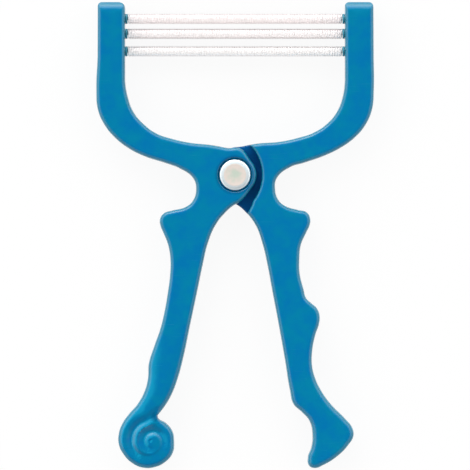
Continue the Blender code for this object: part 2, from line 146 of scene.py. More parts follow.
# %% A socket that can be written in sums
class Socket:
    """The output of a node, with the operators that the finishes use."""

    def __init__(self, graph, output):
        self.graph, self.output = graph, output

    def _maths(self, operation, first, second):
        settings = {"operation": operation}
        return self.graph.node("Math", settings, {0: first, 1: second})

    def __add__(self, other):
        return self._maths("ADD", self, other)

    def __radd__(self, other):
        return self._maths("ADD", other, self)

    def __sub__(self, other):
        return self._maths("SUBTRACT", self, other)

    def __rsub__(self, other):
        return self._maths("SUBTRACT", other, self)

    def __mul__(self, other):
        return self._maths("MULTIPLY", self, other)

    def __rmul__(self, other):
        return self._maths("MULTIPLY", other, self)

    def __pow__(self, other):
        return self._maths("POWER", self, other)

    def largest(self, other):
        """The larger of two values."""
        return self._maths("MAXIMUM", self, other)

    def part(self, axis):
        """The X, Y or Z part of a vector."""
        return self.graph.node("SeparateXYZ", {}, {"Vector": self}, axis)

    def lean(self, way):
        """Dot product of a vector with a fixed way."""
        settings = {"operation": "DOT_PRODUCT"}
        return self.graph.node("VectorMath", settings, {0: self, 1: way}, "Value")

    def away_in_plan(self, centre):
        """Distance of a place from a centre, seen from above."""
        flat = self.graph.node("VectorMath", {"operation": "MULTIPLY"},
                               {0: self, 1: (1, 1, 0)})
        return self.graph.node("VectorMath", {"operation": "DISTANCE"},
                               {0: flat, 1: (*centre, 0)}, "Value")

    def smooth_step(self, low, high):
        """0 below low and 1 above high, with a soft change between."""
        settings = {"interpolation_type": "SMOOTHSTEP"}
        values = {"Value": self, "From Min": low, "From Max": high}
        return self.graph.node("MapRange", settings, values, "Result")

    def mix(self, dark, light):
        """The first colour where this is 0, the second where it is 1."""
        settings = {"data_type": "RGBA"}
        values = {"Factor": self, 6: dark, 7: light}
        return self.graph.node("Mix", settings, values, 2)


# %% A node tree with one method for every node
class Graph:
    """The node tree of a material or of the world."""

    def __init__(self, owner):
        owner.use_nodes = True
        self.tree = owner.node_tree

    def node(self, kind, settings, values, output=0):
        """Adds a node: its settings first, then its sockets' values or links."""
        made = self.tree.nodes.new("ShaderNode" + kind)
        for name, value in settings.items():
            if name == "stops":
                for stop in value[2:]:
                    made.color_ramp.elements.new(stop[0])
                for element, (place, colour) in zip(made.color_ramp.elements, value):
                    element.position, element.color = place, colour
            else:
                setattr(made, name, value)
        self.fill(made, values)
        return Socket(self, made.outputs[output])

    def fill(self, made, values):
        """Sets or links a node's sockets by name or number."""
        for name, value in values.items():
            if isinstance(value, Socket):
                self.tree.links.new(value.output, made.inputs[name])
            else:
                made.inputs[name].default_value = value


# %% What each finish starts with
def new_finish(name):
    """A material with its graph, its shader and the place in millimetres."""
    material = bpy.data.materials.new(name)
    graph = Graph(material)
    shader = graph.tree.nodes["Principled BSDF"]
    place = graph.node("TexCoord", {}, {}, "Object")
    scale = {0: place, "Scale": 1 / MM}
    place = graph.node("VectorMath", {"operation": "SCALE"}, scale)
    return material, graph, shader, place


def noise(graph, place, size, detail=2.0, stretch=(1, 1, 1), turn=0.0):
    """Noise between 0 and 1, its lumps about as wide as size in millimetres."""
    scale = tuple(1 / (size * share) for share in stretch)
    values = {"Vector": place, "Scale": scale, "Rotation": (0, 0, turn)}
    mapped = graph.node("Mapping", {}, values)
    values = {"Vector": mapped, "Scale": 1.0, "Detail": detail}
    return graph.node("TexNoise", {}, values)


def bump(graph, shader, height, distance):
    """Feeds a height between 0 and 1 to the shader as a relief in millimetres."""
    values = {"Height": height, "Distance": distance * MM, "Strength": 1.0}
    graph.fill(shader, {"Normal": graph.node("Bump", {}, values)})


# %% [markdown]
# ## Finishes
#
# The arms are injection moulded in a saturated blue with a low gloss. Such a
# surface is never quite even: the melt leaves faint, slow changes of tone, the
# mould leaves a fine grain, and use leaves hairline scratches. All of these are
# kept weak, because the photograph shows a new tool. The scratches are noise
# that is stretched along one direction until only thin lines are left.
#
# Some light and shade is painted into the colour, by place and by the way
# that the surface faces. The rounded edges carry a painted reflection that
# makes them greyer than the flats. The hollows round the rivet, in the lap and
# at the scroll's notch carry painted shade. On the scroll foot, the slopes
# towards the light carry a painted highlight and those away from it painted
# shade. Each pair of numbers below is where such a change starts and where it
# is complete.

# %% Scratches
HAIR_STRETCH = (14, 0.09, 14)
HAIR_CUT = (0.69, 0.76)
HAIR_PATCH_CUT = (0.48, 0.62)


def scratches(graph, place, turn):
    """Sparse hairlines that run in one direction, between 0 and 1."""
    lines = noise(graph, place, size=1.0, detail=1.0, stretch=HAIR_STRETCH, turn=turn)
    patches = noise(graph, place, size=9.0, detail=1.0, turn=turn)
    return lines.smooth_step(*HAIR_CUT) * patches.smooth_step(*HAIR_PATCH_CUT)


# %% Painted shade in hollows and painted light on slopes
FOOT_DOWN = (44, 60)
FOOT_ACROSS = (2, 6)
LIT_WAY = (-0.80, 0.60, 0.0)
LIT_LEAN = (0.02, 0.12)
DIM_LEAN = (0.06, 0.17)
DIM_SHARE = 0.6
RING_START = (5.0, 5.3)
RING_END = (5.3, 6.4)
RING_SHARE = 0.40
LAP_END = (12.0, 13.0)
LAP_FOOT = (MID_HEIGHT - 1.0, MID_HEIGHT - 0.5)
LAP_TOP = (4.1, 5.6)
LAP_SHARE = 0.6
NOTCH_END = (0.4, 1.9)
NOTCH_SHARE = 0.75


def hollow_shades(place):
    """Masks of painted shade in the hollows: round the rivet, in the lap and at the notch.
    """
    radius, height = place.away_in_plan((0, 0)), place.part("Z")
    ring = radius.smooth_step(*RING_START) * (1 - radius.smooth_step(*RING_END))
    lap = (1 - radius.smooth_step(*LAP_END)) * (1 - height.smooth_step(*LAP_TOP))
    lap = lap * height.smooth_step(*LAP_FOOT)
    notch = 1 - place.away_in_plan(NOTCH_HOLLOW).smooth_step(*NOTCH_END)
    return ring * RING_SHARE, lap * LAP_SHARE, notch * NOTCH_SHARE


def slope_shades(place, normal):
    """Masks of painted light and painted shade on the scroll foot's slopes."""
    foot = (0 - place.part("Y")).smooth_step(*FOOT_DOWN)
    foot = foot * (0 - place.part("X")).smooth_step(*FOOT_ACROSS)
    lit = normal.lean(LIT_WAY).smooth_step(*LIT_LEAN)
    dim = (0 - normal.part("Y")).smooth_step(*DIM_LEAN)
    return lit * foot, dim * foot * DIM_SHARE


# %% Blue moulded plastic
BLUE_DEEP = (0.0003, 0.170, 0.415, 1)
BLUE_PALE = (0.0005, 0.212, 0.378, 1)
# Painted reflection that makes the rounded edges greyer.
BLUE_EDGE_REFLECTION = (0.0030, 0.175, 0.285, 1)
# Painted highlight and painted shade for the scroll foot's slopes.
BLUE_LIT = (0.0045, 0.282, 0.490, 1)
BLUE_DIM = (0.0002, 0.140, 0.310, 1)
# Painted shade for the hollows round the rivet, in the lap, along the lap's rounded edges
# and at the notch.
RING_SHADE = (0.0004, 0.034, 0.135, 1)
LAP_SHADE = (0.0004, 0.062, 0.365, 1)
LAP_EDGE = (0.0090, 0.052, 0.080, 1)
NOTCH_SHADE = (0.0002, 0.085, 0.215, 1)
EDGE_FACING = (0.50, 0.95)


def make_blue():
    """Semi-gloss blue plastic of the two arms, with painted light and shade."""
    material, graph, shader, place = new_finish("moulded_blue_plastic")
    normal = graph.node("TexCoord", {}, {}, "Normal")
    flow = noise(graph, place, size=6.5)
    mottle = noise(graph, place, size=2.2, detail=3.0)
    grain = noise(graph, place, size=0.22)
    hairs = scratches(graph, place, 0.6) + scratches(graph, place, -0.9)
    tone = (flow * 0.6 + mottle * 0.4).smooth_step(0.3, 0.7)
    facing = normal.part("Z")
    edge = 1 - (facing * facing).smooth_step(*EDGE_FACING)
    lit, dim = slope_shades(place, normal)
    ring, lap, notch = hollow_shades(place)
    # Painted light and shade: highlight and shade on the foot, reflection on the edges,
    # shade in the lap, at the notch and round the rivet.
    body = lit.mix(tone.mix(BLUE_DEEP, BLUE_PALE), BLUE_LIT)
    body = edge.mix(dim.mix(body, BLUE_DIM), BLUE_EDGE_REFLECTION)
    body = lap.mix(body, edge.mix(LAP_SHADE, LAP_EDGE))
    body = notch.mix(body, NOTCH_SHADE)
    graph.fill(shader, {
        "Base Color": ring.mix(body, RING_SHADE),
        "Roughness": 0.15 + mottle * 0.06 + hairs * 0.12,
        "Specular IOR Level": 0.5,
    })
    relief = grain * 0.35 + mottle * 0.5 - hairs * 0.25
    bump(graph, shader, relief, distance=0.009)
    return material


blue_plastic = make_blue()
print("blue plastic:", len(blue_plastic.node_tree.nodes), "nodes")

# %% Teal moulded plastic
TEAL_DEEP = (0.042, 0.240, 0.330, 1)
TEAL_PALE = (0.072, 0.330, 0.430, 1)


def make_teal():
    """Dull teal plastic of the plugs."""
    material, graph, shader, place = new_finish("teal_plastic")
    mottle = noise(graph, place, size=0.8, detail=3.0)
    grain = noise(graph, place, size=0.15)
    graph.fill(shader, {
        "Base Color": mottle.mix(TEAL_DEEP, TEAL_PALE),
        "Roughness": 0.42 + mottle * 0.12,
        "Specular IOR Level": 0.35,
    })
    bump(graph, shader, grain, distance=0.008)
    return material


teal_plastic = make_teal()
print("teal plastic:", len(teal_plastic.node_tree.nodes), "nodes")

# %% [markdown]
# The springs are bright nickel-plated wire, with streaks along the wire and
# coils that differ a little in tone. In the photograph they are nearly white,
# with a thin grey line along each side that is stronger on some rows. These
# lines are painted shade, and so each row has its own finish: WIRE_LINES gives
# the strength of its top and bottom line, and the upper half of each spring
# carries a little painted shade too. A weak glow is painted light that lifts
# the lower half of a spring, and the part that faces the floor is grey painted
# shade, so that a spring still shows on white when it is seen at a slant. The
# rivet is plated too. Its pressed face is faintly satin, and painted
# reflections make it rosy with a greener middle, inside a whiter rim.

# %% Plated wire of the springs
NICKEL_BRIGHT = (0.98, 0.955, 0.95, 1)
NICKEL_LINE_SHADE = (0.37, 0.32, 0.33, 1)
NICKEL_UNDER_SHADE = (0.30, 0.29, 0.29, 1)
NICKEL_TONES = {
    "upper": (0.97, 0.865, 0.86, 1),
    "middle": (0.96, 0.895, 0.89, 1),
    "lower": (0.94, 0.915, 0.905, 1),
}
BLACK = (0, 0, 0, 1)

WIRE_PAINTED_GLOW = 0.17
WIRE_LINES = {"upper": (0.0, 0.04), "middle": (0.22, 0.80), "lower": (0.02, 0.48)}
TOP_SHADE = (0.05, 0.55)
TOP_SHADE_SHARE = 0.36
TOP_SHADE_LINE = (0.60, 0.88)
BOTTOM_SHADE_LINE = (0.62, 0.90)
WIRE_SLOPE = (0.04, 0.36)
WIRE_FRONT = (MID_HEIGHT - 0.3, MID_HEIGHT + 0.7)
WIRE_UNDER = (-0.3, 0.5)


def make_wire(row):
    """Bright plated wire of one spring, with painted shade lines along its two sides."""
    material, graph, shader, place = new_finish(f"plated_wire_{row}")
    tone = noise(graph, place, size=1.4, detail=3.0, stretch=(1, 3, 3))
    smear = noise(graph, place, size=7.0)
    streaks = noise(graph, place, size=0.06, stretch=(1, 8, 8))
    facing = graph.node("TexCoord", {}, {}, "Normal").part("Y")
    top_share, bottom_share = WIRE_LINES[row]
    # Painted shade: a little over the upper half, and a grey line along the top and the
    # bottom side.
    lines = facing.smooth_step(*TOP_SHADE) * TOP_SHADE_SHARE
    lines = lines + facing.smooth_step(*TOP_SHADE_LINE) * top_share
    lines = lines + (0 - facing).smooth_step(*BOTTOM_SHADE_LINE) * bottom_share
    bright = (tone * 0.5 + smear * 0.5).mix(NICKEL_TONES[row], NICKEL_BRIGHT)
    # Painted shade: the half that faces the floor is grey.
    front = place.part("Z").smooth_step(*WIRE_FRONT)
    shade_lined = front.mix(NICKEL_UNDER_SHADE, lines.mix(bright, NICKEL_LINE_SHADE))
    # Painted light: the lower half glows weakly.
    under = (0 - facing).smooth_step(*WIRE_UNDER)
    slope = (facing * facing).smooth_step(*WIRE_SLOPE)
    graph.fill(shader, {
        "Base Color": shade_lined,
        "Metallic": 0.15 + slope * 0.65,
        "Roughness": 0.34 + smear * 0.16,
        "Emission Color": under.mix(BLACK, shade_lined),
        "Emission Strength": WIRE_PAINTED_GLOW,
    })
    bump(graph, shader, streaks, distance=0.004)
    return material


spring_metals = {row: make_wire(row) for row in WIRE_LINES}
print("finishes of the springs:", ", ".join(spring_metals))

# %% Plated rivet
FACE_ROSE_REFLECTION = (0.84, 0.745, 0.68, 1)
FACE_GREEN_REFLECTION = (0.62, 0.70, 0.60, 1)
RIM_WHITE_REFLECTION = (0.69, 0.765, 0.79, 1)
CORE_SPREAD = 3.0
CORE_END = (0.3, 3.0)
RIM_START = (3.15, 3.55)
RIM_SHINE = (3.7, 4.2)
LATHE_RINGS = 34.0


def make_rivet_metal():
    """Satin plated metal of the rivet and its washer, with painted reflections in its
    tint.
    """
    material, graph, shader, place = new_finish("satin_plated_rivet")
    radius = place.away_in_plan((0, 0))
    patch = noise(graph, place, size=1.7, detail=1.0)
    wobble = noise(graph, place, size=0.7)
    turned = radius * LATHE_RINGS + wobble * 2.0
    rings = graph.node("Math", {"operation": "SINE"}, {0: turned})
    # Painted reflections: a rosy face with a greener middle, and a whiter rim.
    core = 1 - (radius + (patch - 0.5) * CORE_SPREAD).smooth_step(*CORE_END)
    rim = radius.smooth_step(*RIM_START)
    shine = radius.smooth_step(*RIM_SHINE)
    graph.fill(shader, {
        "Base Color": rim.mix(core.mix(FACE_ROSE_REFLECTION, FACE_GREEN_REFLECTION), RIM_WHITE_REFLECTION),
        "Metallic": 0.25 + shine * 0.5,
        "Roughness": 0.46 + patch * 0.12 - shine * 0.20,
    })
    bump(graph, shader, rings * 0.25 + wobble * 0.5, distance=0.006)
    return material


rivet_metal = make_rivet_metal()
print("rivet metal:", len(rivet_metal.node_tree.nodes), "nodes")

# %% [markdown]
# ## The plan of each arm
#
# Seen from the front, each arm is one closed line: round the lap boss, down the
# inner side of the handle, round the foot, up past the finger notch, and over
# the jaw and post. The tables give its points as shares of a few sizes, with u
# outwards to the arm's own side and v upwards. A Bezier curve with automatic
# handles bends smoothly through them, which is how the real outline flows.
# Points marked LINE start a straight run, and CORNER is the one sharp notch
# under the scroll's neck. The two arms differ a little, as they do in the
# photograph, so each has its own tables.

# %% Points from shares, and the round parts
SMOOTH, CORNER, LINE = "smooth", "corner", "line"
BOSS_ARC_DEGREES = (135, 165, 195, 225)
CROWN_ARC_DEGREES = (0, 45, 90)


def scaled(shares, width, height):
    """Smooth outline points from a table of shares."""
    return [(u * width, v * height, SMOOTH) for u, v in shares]


def around(centre, radius, shares, kind=SMOOTH):
    """Outline points from shares of a radius about a centre."""
    return [(centre[0] + u * radius, centre[1] + v * radius, kind) for u, v in shares]


def polar(centre, radius, degrees):
    """The smooth outline point at an angle on a circle."""
    angle = math.radians(degrees)
    along = centre[0] + radius * math.cos(angle)
    return (along, centre[1] + radius * math.sin(angle), SMOOTH)


def then_line(points):
    """The same points, with a straight run after the last one."""
    return points[:-1] + [(*points[-1][:2], LINE)]


def crown(taper, inner_round, outer_round):
    """Top of a post, from its outer side to its inner side."""
    outer = (POST_OUTER * taper - outer_round, JAW_HEIGHT - outer_round)
    inner = (POST_INNER + inner_round, JAW_HEIGHT - inner_round)
    points = [polar(outer, outer_round, turn) for turn in CROWN_ARC_DEGREES]
    other = [polar(inner, inner_round, turn + 90) for turn in CROWN_ARC_DEGREES]
    return then_line(points) + then_line(other)


def boss(top_shares, foot_shares):
    """Round lap boss from the jaw's inner edge to the crotch."""
    points = around((0, 0), BOSS_RADIUS, top_shares)
    points += [polar((0, 0), BOSS_RADIUS, turn) for turn in BOSS_ARC_DEGREES]
    return points + around((0, 0), BOSS_RADIUS, foot_shares)


# %% Outline of the right arm
RIGHT_CROWN_ROUNDS = (1.2, 1.3)
RIGHT_BOSS_TOP_SHARES = ((0.80, 1.41), (0.31, 1.31), (-0.23, 1.21))
RIGHT_BOSS_FOOT_SHARES = ((-0.17, -1.27), (0.05, -1.35))
RIGHT_INNER_SHARES = (
    (0.091, -0.126), (0.177, -0.171), (0.235, -0.232), (0.279, -0.306),
    (0.319, -0.391), (0.376, -0.510), (0.429, -0.628), (0.472, -0.733),
    (0.503, -0.781),
)
BOOT_SHARES = (
    (0.579, -0.810), (0.641, -0.839), (0.667, -0.889), (0.656, -0.930),
    (0.628, -0.961), (0.637, -0.991), (0.683, -1.000), (0.759, -0.990),
    (0.892, -0.956), (0.974, -0.922), (1.020, -0.890), (1.008, -0.861),
    (0.950, -0.832), (0.826, -0.782), (0.747, -0.739),
)
CALF_SHARES = (
    (0.693, -0.696), (0.664, -0.651), (0.665, -0.600), (0.692, -0.545),
    (0.722, -0.510), (0.729, -0.483), (0.707, -0.456), (0.650, -0.435),
    (0.612, -0.420), (0.590, -0.390),
)
RIGHT_NOTCH_SHARES = (
    (0.558, -0.339), (0.554, -0.289), (0.567, -0.239), (0.614, -0.196),
    (0.641, -0.173), (0.648, -0.151), (0.619, -0.128), (0.538, -0.119),
    (0.433, -0.106), (0.373, -0.085), (0.345, -0.047), (0.359, -0.012),
)
RIGHT_JAW_OUTER_SHARES = (
    (0.398, 0.045), (0.497, 0.070), (0.653, 0.114), (0.768, 0.160),
    (0.866, 0.218), (0.941, 0.290), (0.988, 0.379), (1.001, 0.494),
    (1.000, 0.692),
)
RIGHT_POST_TAPER_SHARE = 0.998
RIGHT_JAW_INNER_SHARES = (
    (1.000, 0.544), (0.980, 0.451), (0.927, 0.364), (0.836, 0.295),
    (0.710, 0.243), (0.588, 0.217), (0.404, 0.192), (0.223, 0.183),
)


def right_outline():
    """Closed outline of the right arm, with the boot-shaped foot."""
    handle = RIGHT_INNER_SHARES + BOOT_SHARES + CALF_SHARES + RIGHT_NOTCH_SHARES
    points = boss(RIGHT_BOSS_TOP_SHARES, RIGHT_BOSS_FOOT_SHARES)
    points += scaled(handle, HANDLE_REACH, HANDLE_DROP)
    points += then_line(scaled(RIGHT_JAW_OUTER_SHARES, POST_OUTER, JAW_HEIGHT))
    points += crown(RIGHT_POST_TAPER_SHARE, *RIGHT_CROWN_ROUNDS)
    return points + scaled(RIGHT_JAW_INNER_SHARES, POST_INNER, JAW_HEIGHT)


print("right outline:", len(right_outline()), "points")

# %% Outline of the left arm
LEFT_CROWN_ROUNDS = (1.9, 1.2)
LEFT_BOSS_TOP_SHARES = ((0.81, 1.33), (0.32, 1.24), (-0.24, 1.23))
LEFT_BOSS_FOOT_SHARES = ((-0.18, -1.29), (0.03, -1.38))
LEFT_INNER_SHARES = (
    (0.080, -0.127), (0.166, -0.170), (0.233, -0.232), (0.278, -0.306),
    (0.322, -0.391), (0.386, -0.511), (0.444, -0.621), (0.489, -0.689),
    (0.545, -0.748),
)
LEFT_OUTER_SHARES = (
    (0.774, -0.733), (0.749, -0.691), (0.743, -0.645), (0.692, -0.580),
    (0.644, -0.526), (0.612, -0.475), (0.581, -0.407),
)
LEFT_NOTCH_SHARES = (
    (0.559, -0.339), (0.556, -0.289), (0.576, -0.239), (0.618, -0.196),
    (0.642, -0.173), (0.646, -0.151), (0.613, -0.131), (0.537, -0.121),
    (0.429, -0.110), (0.363, -0.088), (0.335, -0.047), (0.359, -0.012),
)
NECK_INNER_SHARES = ((-0.701, 1.298), (-0.504, 1.035))
NECK_NOTCH_SHARES = (-0.409, 0.918)
NECK_OUTER_SHARES = ((0.616, 0.985), (0.326, 1.318))
RING_SHARES = (
    (118, 0.923), (137, 0.951), (159, 1.003), (181, 1.006), (205, 1.055),
    (229, 1.038), (254, 1.011), (278, 0.995), (303, 0.968), (327, 0.968),
    (351, 1.010), (375, 1.036), (397, 1.074),
)
LEFT_JAW_OUTER_SHARES = (
    (0.402, 0.039), (0.498, 0.068), (0.656, 0.109), (0.771, 0.156),
    (0.867, 0.217), (0.941, 0.290), (0.989, 0.379), (1.000, 0.494),
    (0.991, 0.692),
)
LEFT_POST_TAPER_SHARE = 0.990
LEFT_JAW_INNER_SHARES = (
    (1.000, 0.544), (0.976, 0.451), (0.925, 0.365), (0.835, 0.296),
    (0.712, 0.239), (0.590, 0.212), (0.405, 0.186), (0.224, 0.174),
)


def left_outline():
    """Outline of the left arm in its own u and v, with the scroll foot."""
    points = boss(LEFT_BOSS_TOP_SHARES, LEFT_BOSS_FOOT_SHARES)
    points += scaled(LEFT_INNER_SHARES, HANDLE_REACH, HANDLE_DROP)
    points += around(SCROLL_CENTRE, SCROLL_RADIUS, NECK_INNER_SHARES)
    points += around(SCROLL_CENTRE, SCROLL_RADIUS, [NECK_NOTCH_SHARES], CORNER)
    points += [polar(SCROLL_CENTRE, SCROLL_RADIUS * share, turn)
               for turn, share in RING_SHARES]
    points += around(SCROLL_CENTRE, SCROLL_RADIUS, NECK_OUTER_SHARES)
    points += scaled(LEFT_OUTER_SHARES + LEFT_NOTCH_SHARES, HANDLE_REACH, HANDLE_DROP)
    points += then_line(scaled(LEFT_JAW_OUTER_SHARES, POST_OUTER, JAW_HEIGHT))
    points += crown(LEFT_POST_TAPER_SHARE, *LEFT_CROWN_ROUNDS)
    return points + scaled(LEFT_JAW_INNER_SHARES, POST_INNER, JAW_HEIGHT)


print("left outline:", len(left_outline()), "points")

# %% [markdown]
# Blender works the curve out for us: a temporary curve object is turned into a
# mesh, and its vertices are the line. They bunch up where points lie close, so
# the line is then walked again at an even step, with sharp corners kept.

# %% A fine line of points along a curve
CURVE_FINENESS = 24


def curve_line(points, closed):
    """Fine line of points along a Bezier curve through outline points."""
    data = bpy.data.curves.new("line", "CURVE")
    data.dimensions = "3D"
    data.resolution_u = CURVE_FINENESS
    spline = data.splines.new("BEZIER")
    spline.bezier_points.add(len(points) - 1)
    spline.use_cyclic_u = closed
    for index, (x, y, kind) in enumerate(points):
        point = spline.bezier_points[index]
        point.co = (x, y, 0)
        arrives = kind == CORNER or points[index - 1][2] == LINE
        point.handle_left_type = "VECTOR" if arrives else "AUTO"
        point.handle_right_type = "AUTO" if kind == SMOOTH else "VECTOR"
    item = bpy.data.objects.new("line", data)
    bpy.context.scene.collection.objects.link(item)
    bpy.context.view_layer.update()
    line = np.array([vertex.co[:2] for vertex in item.to_mesh().vertices])
    item.to_mesh_clear()
    bpy.data.objects.remove(item, do_unlink=True)
    bpy.data.curves.remove(data)
    return line


print("right outline as a curve:", len(curve_line(right_outline(), True)), "points")

# %% The same line in even steps
EDGE_STEP = 0.40
SHARP_TURN = math.radians(18)
TINY = 1e-12


def cross(first, second):
    """Height of the cross product of plan vectors."""
    return first[..., 0] * second[..., 1] - first[..., 1] * second[..., 0]


def unit(vectors):
    """Vectors of length one."""
    return vectors / np.maximum(np.linalg.norm(vectors, axis=-1, keepdims=True), TINY)


def even_line(line, step, closed):
    """The same line with evenly spaced points between its sharp corners."""
    if closed:
        ahead = unit(np.roll(line, -1, 0) - line)
        behind = unit(line - np.roll(line, 1, 0))
        turn = np.abs(np.arcsin(np.clip(cross(behind, ahead), -1, 1)))
        corners = np.flatnonzero(turn > SHARP_TURN)
        first = corners[0] if len(corners) else 0
        line = np.roll(line, -first, 0)
        breaks = [*(corners - first), len(line)] if len(corners) else [0, len(line)]
        line = np.vstack([line, line[:1]])
    else:
        breaks = [0, len(line) - 1]
    runs = []
    for start, stop in zip(breaks, breaks[1:]):
        run = line[start:stop + 1]
        length = np.append(0, np.cumsum(np.linalg.norm(np.diff(run, axis=0), axis=1)))
        places = np.linspace(0, length[-1], max(2, round(length[-1] / step) + 1))
        even = np.column_stack([np.interp(places, length, run[:, i]) for i in (0, 1)])
        runs.append(even[:-1])
    return np.vstack(runs if closed else [*runs, line[-1:]])


walked = even_line(curve_line(right_outline(), True), EDGE_STEP, True)
print("right outline in even steps:", len(walked), "points")

# %% [markdown]
# ## An arm as a relief
#
# A moulded arm is a plate with a front and a back, and each face is a height
# over the plan. That suits a relief better than cutting solids out of each
# other: the rounded edge, the stepped lap, the rivet's recess and the scroll's
# groove become sums on one height, and the edge can be rounder in one place
# than in another. The plan is filled with points: along the edge in rings that
# close up where the rounding is steep, on both sides of each step, and on a
# loose grid between. A Delaunay triangulation joins them.

# %% Distances and directions in the plan
POINTS_AT_ONCE = 1500


def inward(loop):
    """Directions into a counterclockwise loop at its points."""
    ahead = unit(np.roll(loop, -1, 0) - loop)
    behind = unit(loop - np.roll(loop, 1, 0))
    middle = unit(ahead + behind)
    return np.column_stack([-middle[:, 1], middle[:, 0]])


def away_from(points, centre):
    """Distances from a centre."""
    return np.linalg.norm(points - np.asarray(centre, float), axis=1)


def near_line(points, line, closed=True):
    """Distance from each point to the nearest stretch of a line."""
    start = line if closed else line[:-1]
    stretch = (np.roll(line, -1, 0) if closed else line[1:]) - start
    size = np.maximum((stretch ** 2).sum(axis=1), TINY)
    nearest = []
    for block in np.array_split(points, max(1, len(points) // POINTS_AT_ONCE)):
        offset = block[:, None] - start[None]
        share = np.clip((offset * stretch[None]).sum(axis=2) / size, 0, 1)
        gap = offset - share[..., None] * stretch[None]
        nearest.append(np.sqrt((gap ** 2).sum(axis=2).min(axis=1)))
    return np.concatenate(nearest)


def within(points, loop):
    """Whether each point lies inside a closed loop."""
    ends = np.roll(loop, -1, 0)
    inside = np.zeros(len(points), bool)
    for (start_x, start_y), (end_x, end_y) in zip(loop, ends):
        if start_y == end_y:
            continue
        spans = (start_y > points[:, 1]) != (end_y > points[:, 1])
        rise = end_y - start_y
        crossing = (end_x - start_x) * (points[:, 1] - start_y) / rise + start_x
        inside ^= spans & (points[:, 0] < crossing)
    return inside


to_scroll = away_from(np.array([SCROLL_CENTRE]), (0, 0))[0]
print("from the rivet to the scroll's centre:", round(float(to_scroll), 1), "mm")

# %% Circles, and where a line crosses them
LEAST_CIRCLE_POINTS = 24
HALVINGS = 40


def circle(centre, radius, step):
    """Evenly spaced points round a circle."""
    count = max(LEAST_CIRCLE_POINTS, round(math.tau * radius / step))
    turn = np.arange(count) * math.tau / count
    return np.column_stack([np.cos(turn), np.sin(turn)]) * radius + centre


def split_at_circles(loop, centre, radii):
    """Adds the points where a loop crosses circles about a centre."""
    points = []
    for start, end in zip(loop, np.roll(loop, -1, 0)):
        points.append(start)
        near, far = (np.linalg.norm(end_point - centre) for end_point in (start, end))
        crossed = [radius for radius in radii if (near - radius) * (far - radius) < 0]
        for radius in sorted(crossed, reverse=bool(near > far)):
            low, high = 0.0, 1.0
            for _ in range(HALVINGS):
                half = (low + high) / 2
                here = np.linalg.norm(start + (end - start) * half - centre)
                if (here < radius) == (near < far):
                    low = half
                else:
                    high = half
            points.append(start + (end - start) * low)
    return np.array(points)


bore_ring = circle(np.zeros(2), BORE_RADIUS, EDGE_STEP / 2)
print("points round the bore:", len(bore_ring))

# %% [markdown]
# The points of the rings follow the outline inwards. At the inner corner of the
# notch the rings would leave a gap, so a fan of points fills it. Each step in
# the relief, such as the edge of the lap, is a pair of circles a hair apart,
# with a few more for its rounded lip. The triangulation is told to keep them,
# so that the wall between is clean.

# %% Points that fill the plan
RING_DEPTHS = (0.031, 0.121, 0.264, 0.45, 0.667, 0.9, 1.2, 1.5, 1.8, 2.2)
RING_KEEP_SHARE = 0.985
FAN_POINTS = 9
LOOSE_STEP = 1.5
LOOSE_CLEARANCE = RING_DEPTHS[-1] + LOOSE_STEP / 3
FINE_STEP = 0.26
FINE_REACH = SCROLL_RADIUS * 1.1
FINE_CLEARANCE = 0.95
BORE_CLEARANCE = 0.2
CIRCLE_CLEARANCE = 0.09


def ring_points(loop, depths):
    """Points inwards from a loop at each depth, fans at inner corners included."""
    normals = inward(loop)
    ahead = unit(np.roll(loop, -1, 0) - loop)
    behind = unit(loop - np.roll(loop, 1, 0))
    turn = np.arcsin(np.clip(cross(behind, ahead), -1, 1))
    starts, ways = [loop], [normals]
    for index in np.flatnonzero(turn < -SHARP_TURN):
        swing = -turn[index] / 2
        for angle in np.linspace(-swing, swing, FAN_POINTS):
            cosine, sine = math.cos(angle), math.sin(angle)
            x, y = normals[index]
            starts.append(loop[index:index + 1])
            ways.append(np.array([[cosine * x - sine * y, sine * x + cosine * y]]))
    starts, ways = np.vstack(starts), np.vstack(ways)
    rings = []
    for depth in depths:
        ring = starts + ways * depth
        rings.append(ring[near_line(ring, loop) > depth * RING_KEEP_SHARE])
    return np.vstack(rings)


def grid_points(low, high, step):
    """Points of a triangular grid over a rectangle."""
    rows = np.arange(low[1], high[1], step * math.sqrt(3) / 2)
    spots = [(x + (row % 2) * step / 2, y) for row, y in enumerate(rows)
             for x in np.arange(low[0], high[0], step)]
    return np.array(spots)


def filler_points(loop, circles, fine_centre):
    """Points inside a loop: its rings, a fine grid at the scroll, a loose grid."""
    low, high = loop.min(axis=0), loop.max(axis=0)
    filler = [ring_points(loop, RING_DEPTHS)]
    loose = grid_points(low, high, LOOSE_STEP)
    loose = loose[near_line(loose, loop) > LOOSE_CLEARANCE]
    if fine_centre is not None:
        loose = loose[away_from(loose, fine_centre) > FINE_REACH]
        fine = grid_points(fine_centre - FINE_REACH, fine_centre + FINE_REACH, FINE_STEP)
        deep = near_line(filler[0], loop) > FINE_CLEARANCE
        covered = deep & (away_from(filler[0], fine_centre) < FINE_REACH)
        filler = [filler[0][~covered], fine[near_line(fine, loop) > FINE_CLEARANCE]]
    filler = np.vstack([*filler, loose])
    filler = filler[within(filler, loop)]
    filler = filler[away_from(filler, (0, 0)) > BORE_RADIUS + BORE_CLEARANCE]
    for centre, radius in circles:
        filler = filler[np.abs(away_from(filler, centre) - radius) > CIRCLE_CLEARANCE]
    return filler


print("loose points on 20 by 20 mm:", len(grid_points((0, 0), (20, 20), LOOSE_STEP)))

# %% Join the points into triangles
ARC_CLEARANCE = 0.05
ON_CIRCLE = 1e-6
BORE_KEEP_SHARE = 0.995
TRIANGULATION_MERGE = 0.0005


def closed_links(first, count):
    """Pairs of neighbours along a closed run of points."""
    return [(first + i, first + (i + 1) % count) for i in range(count)]


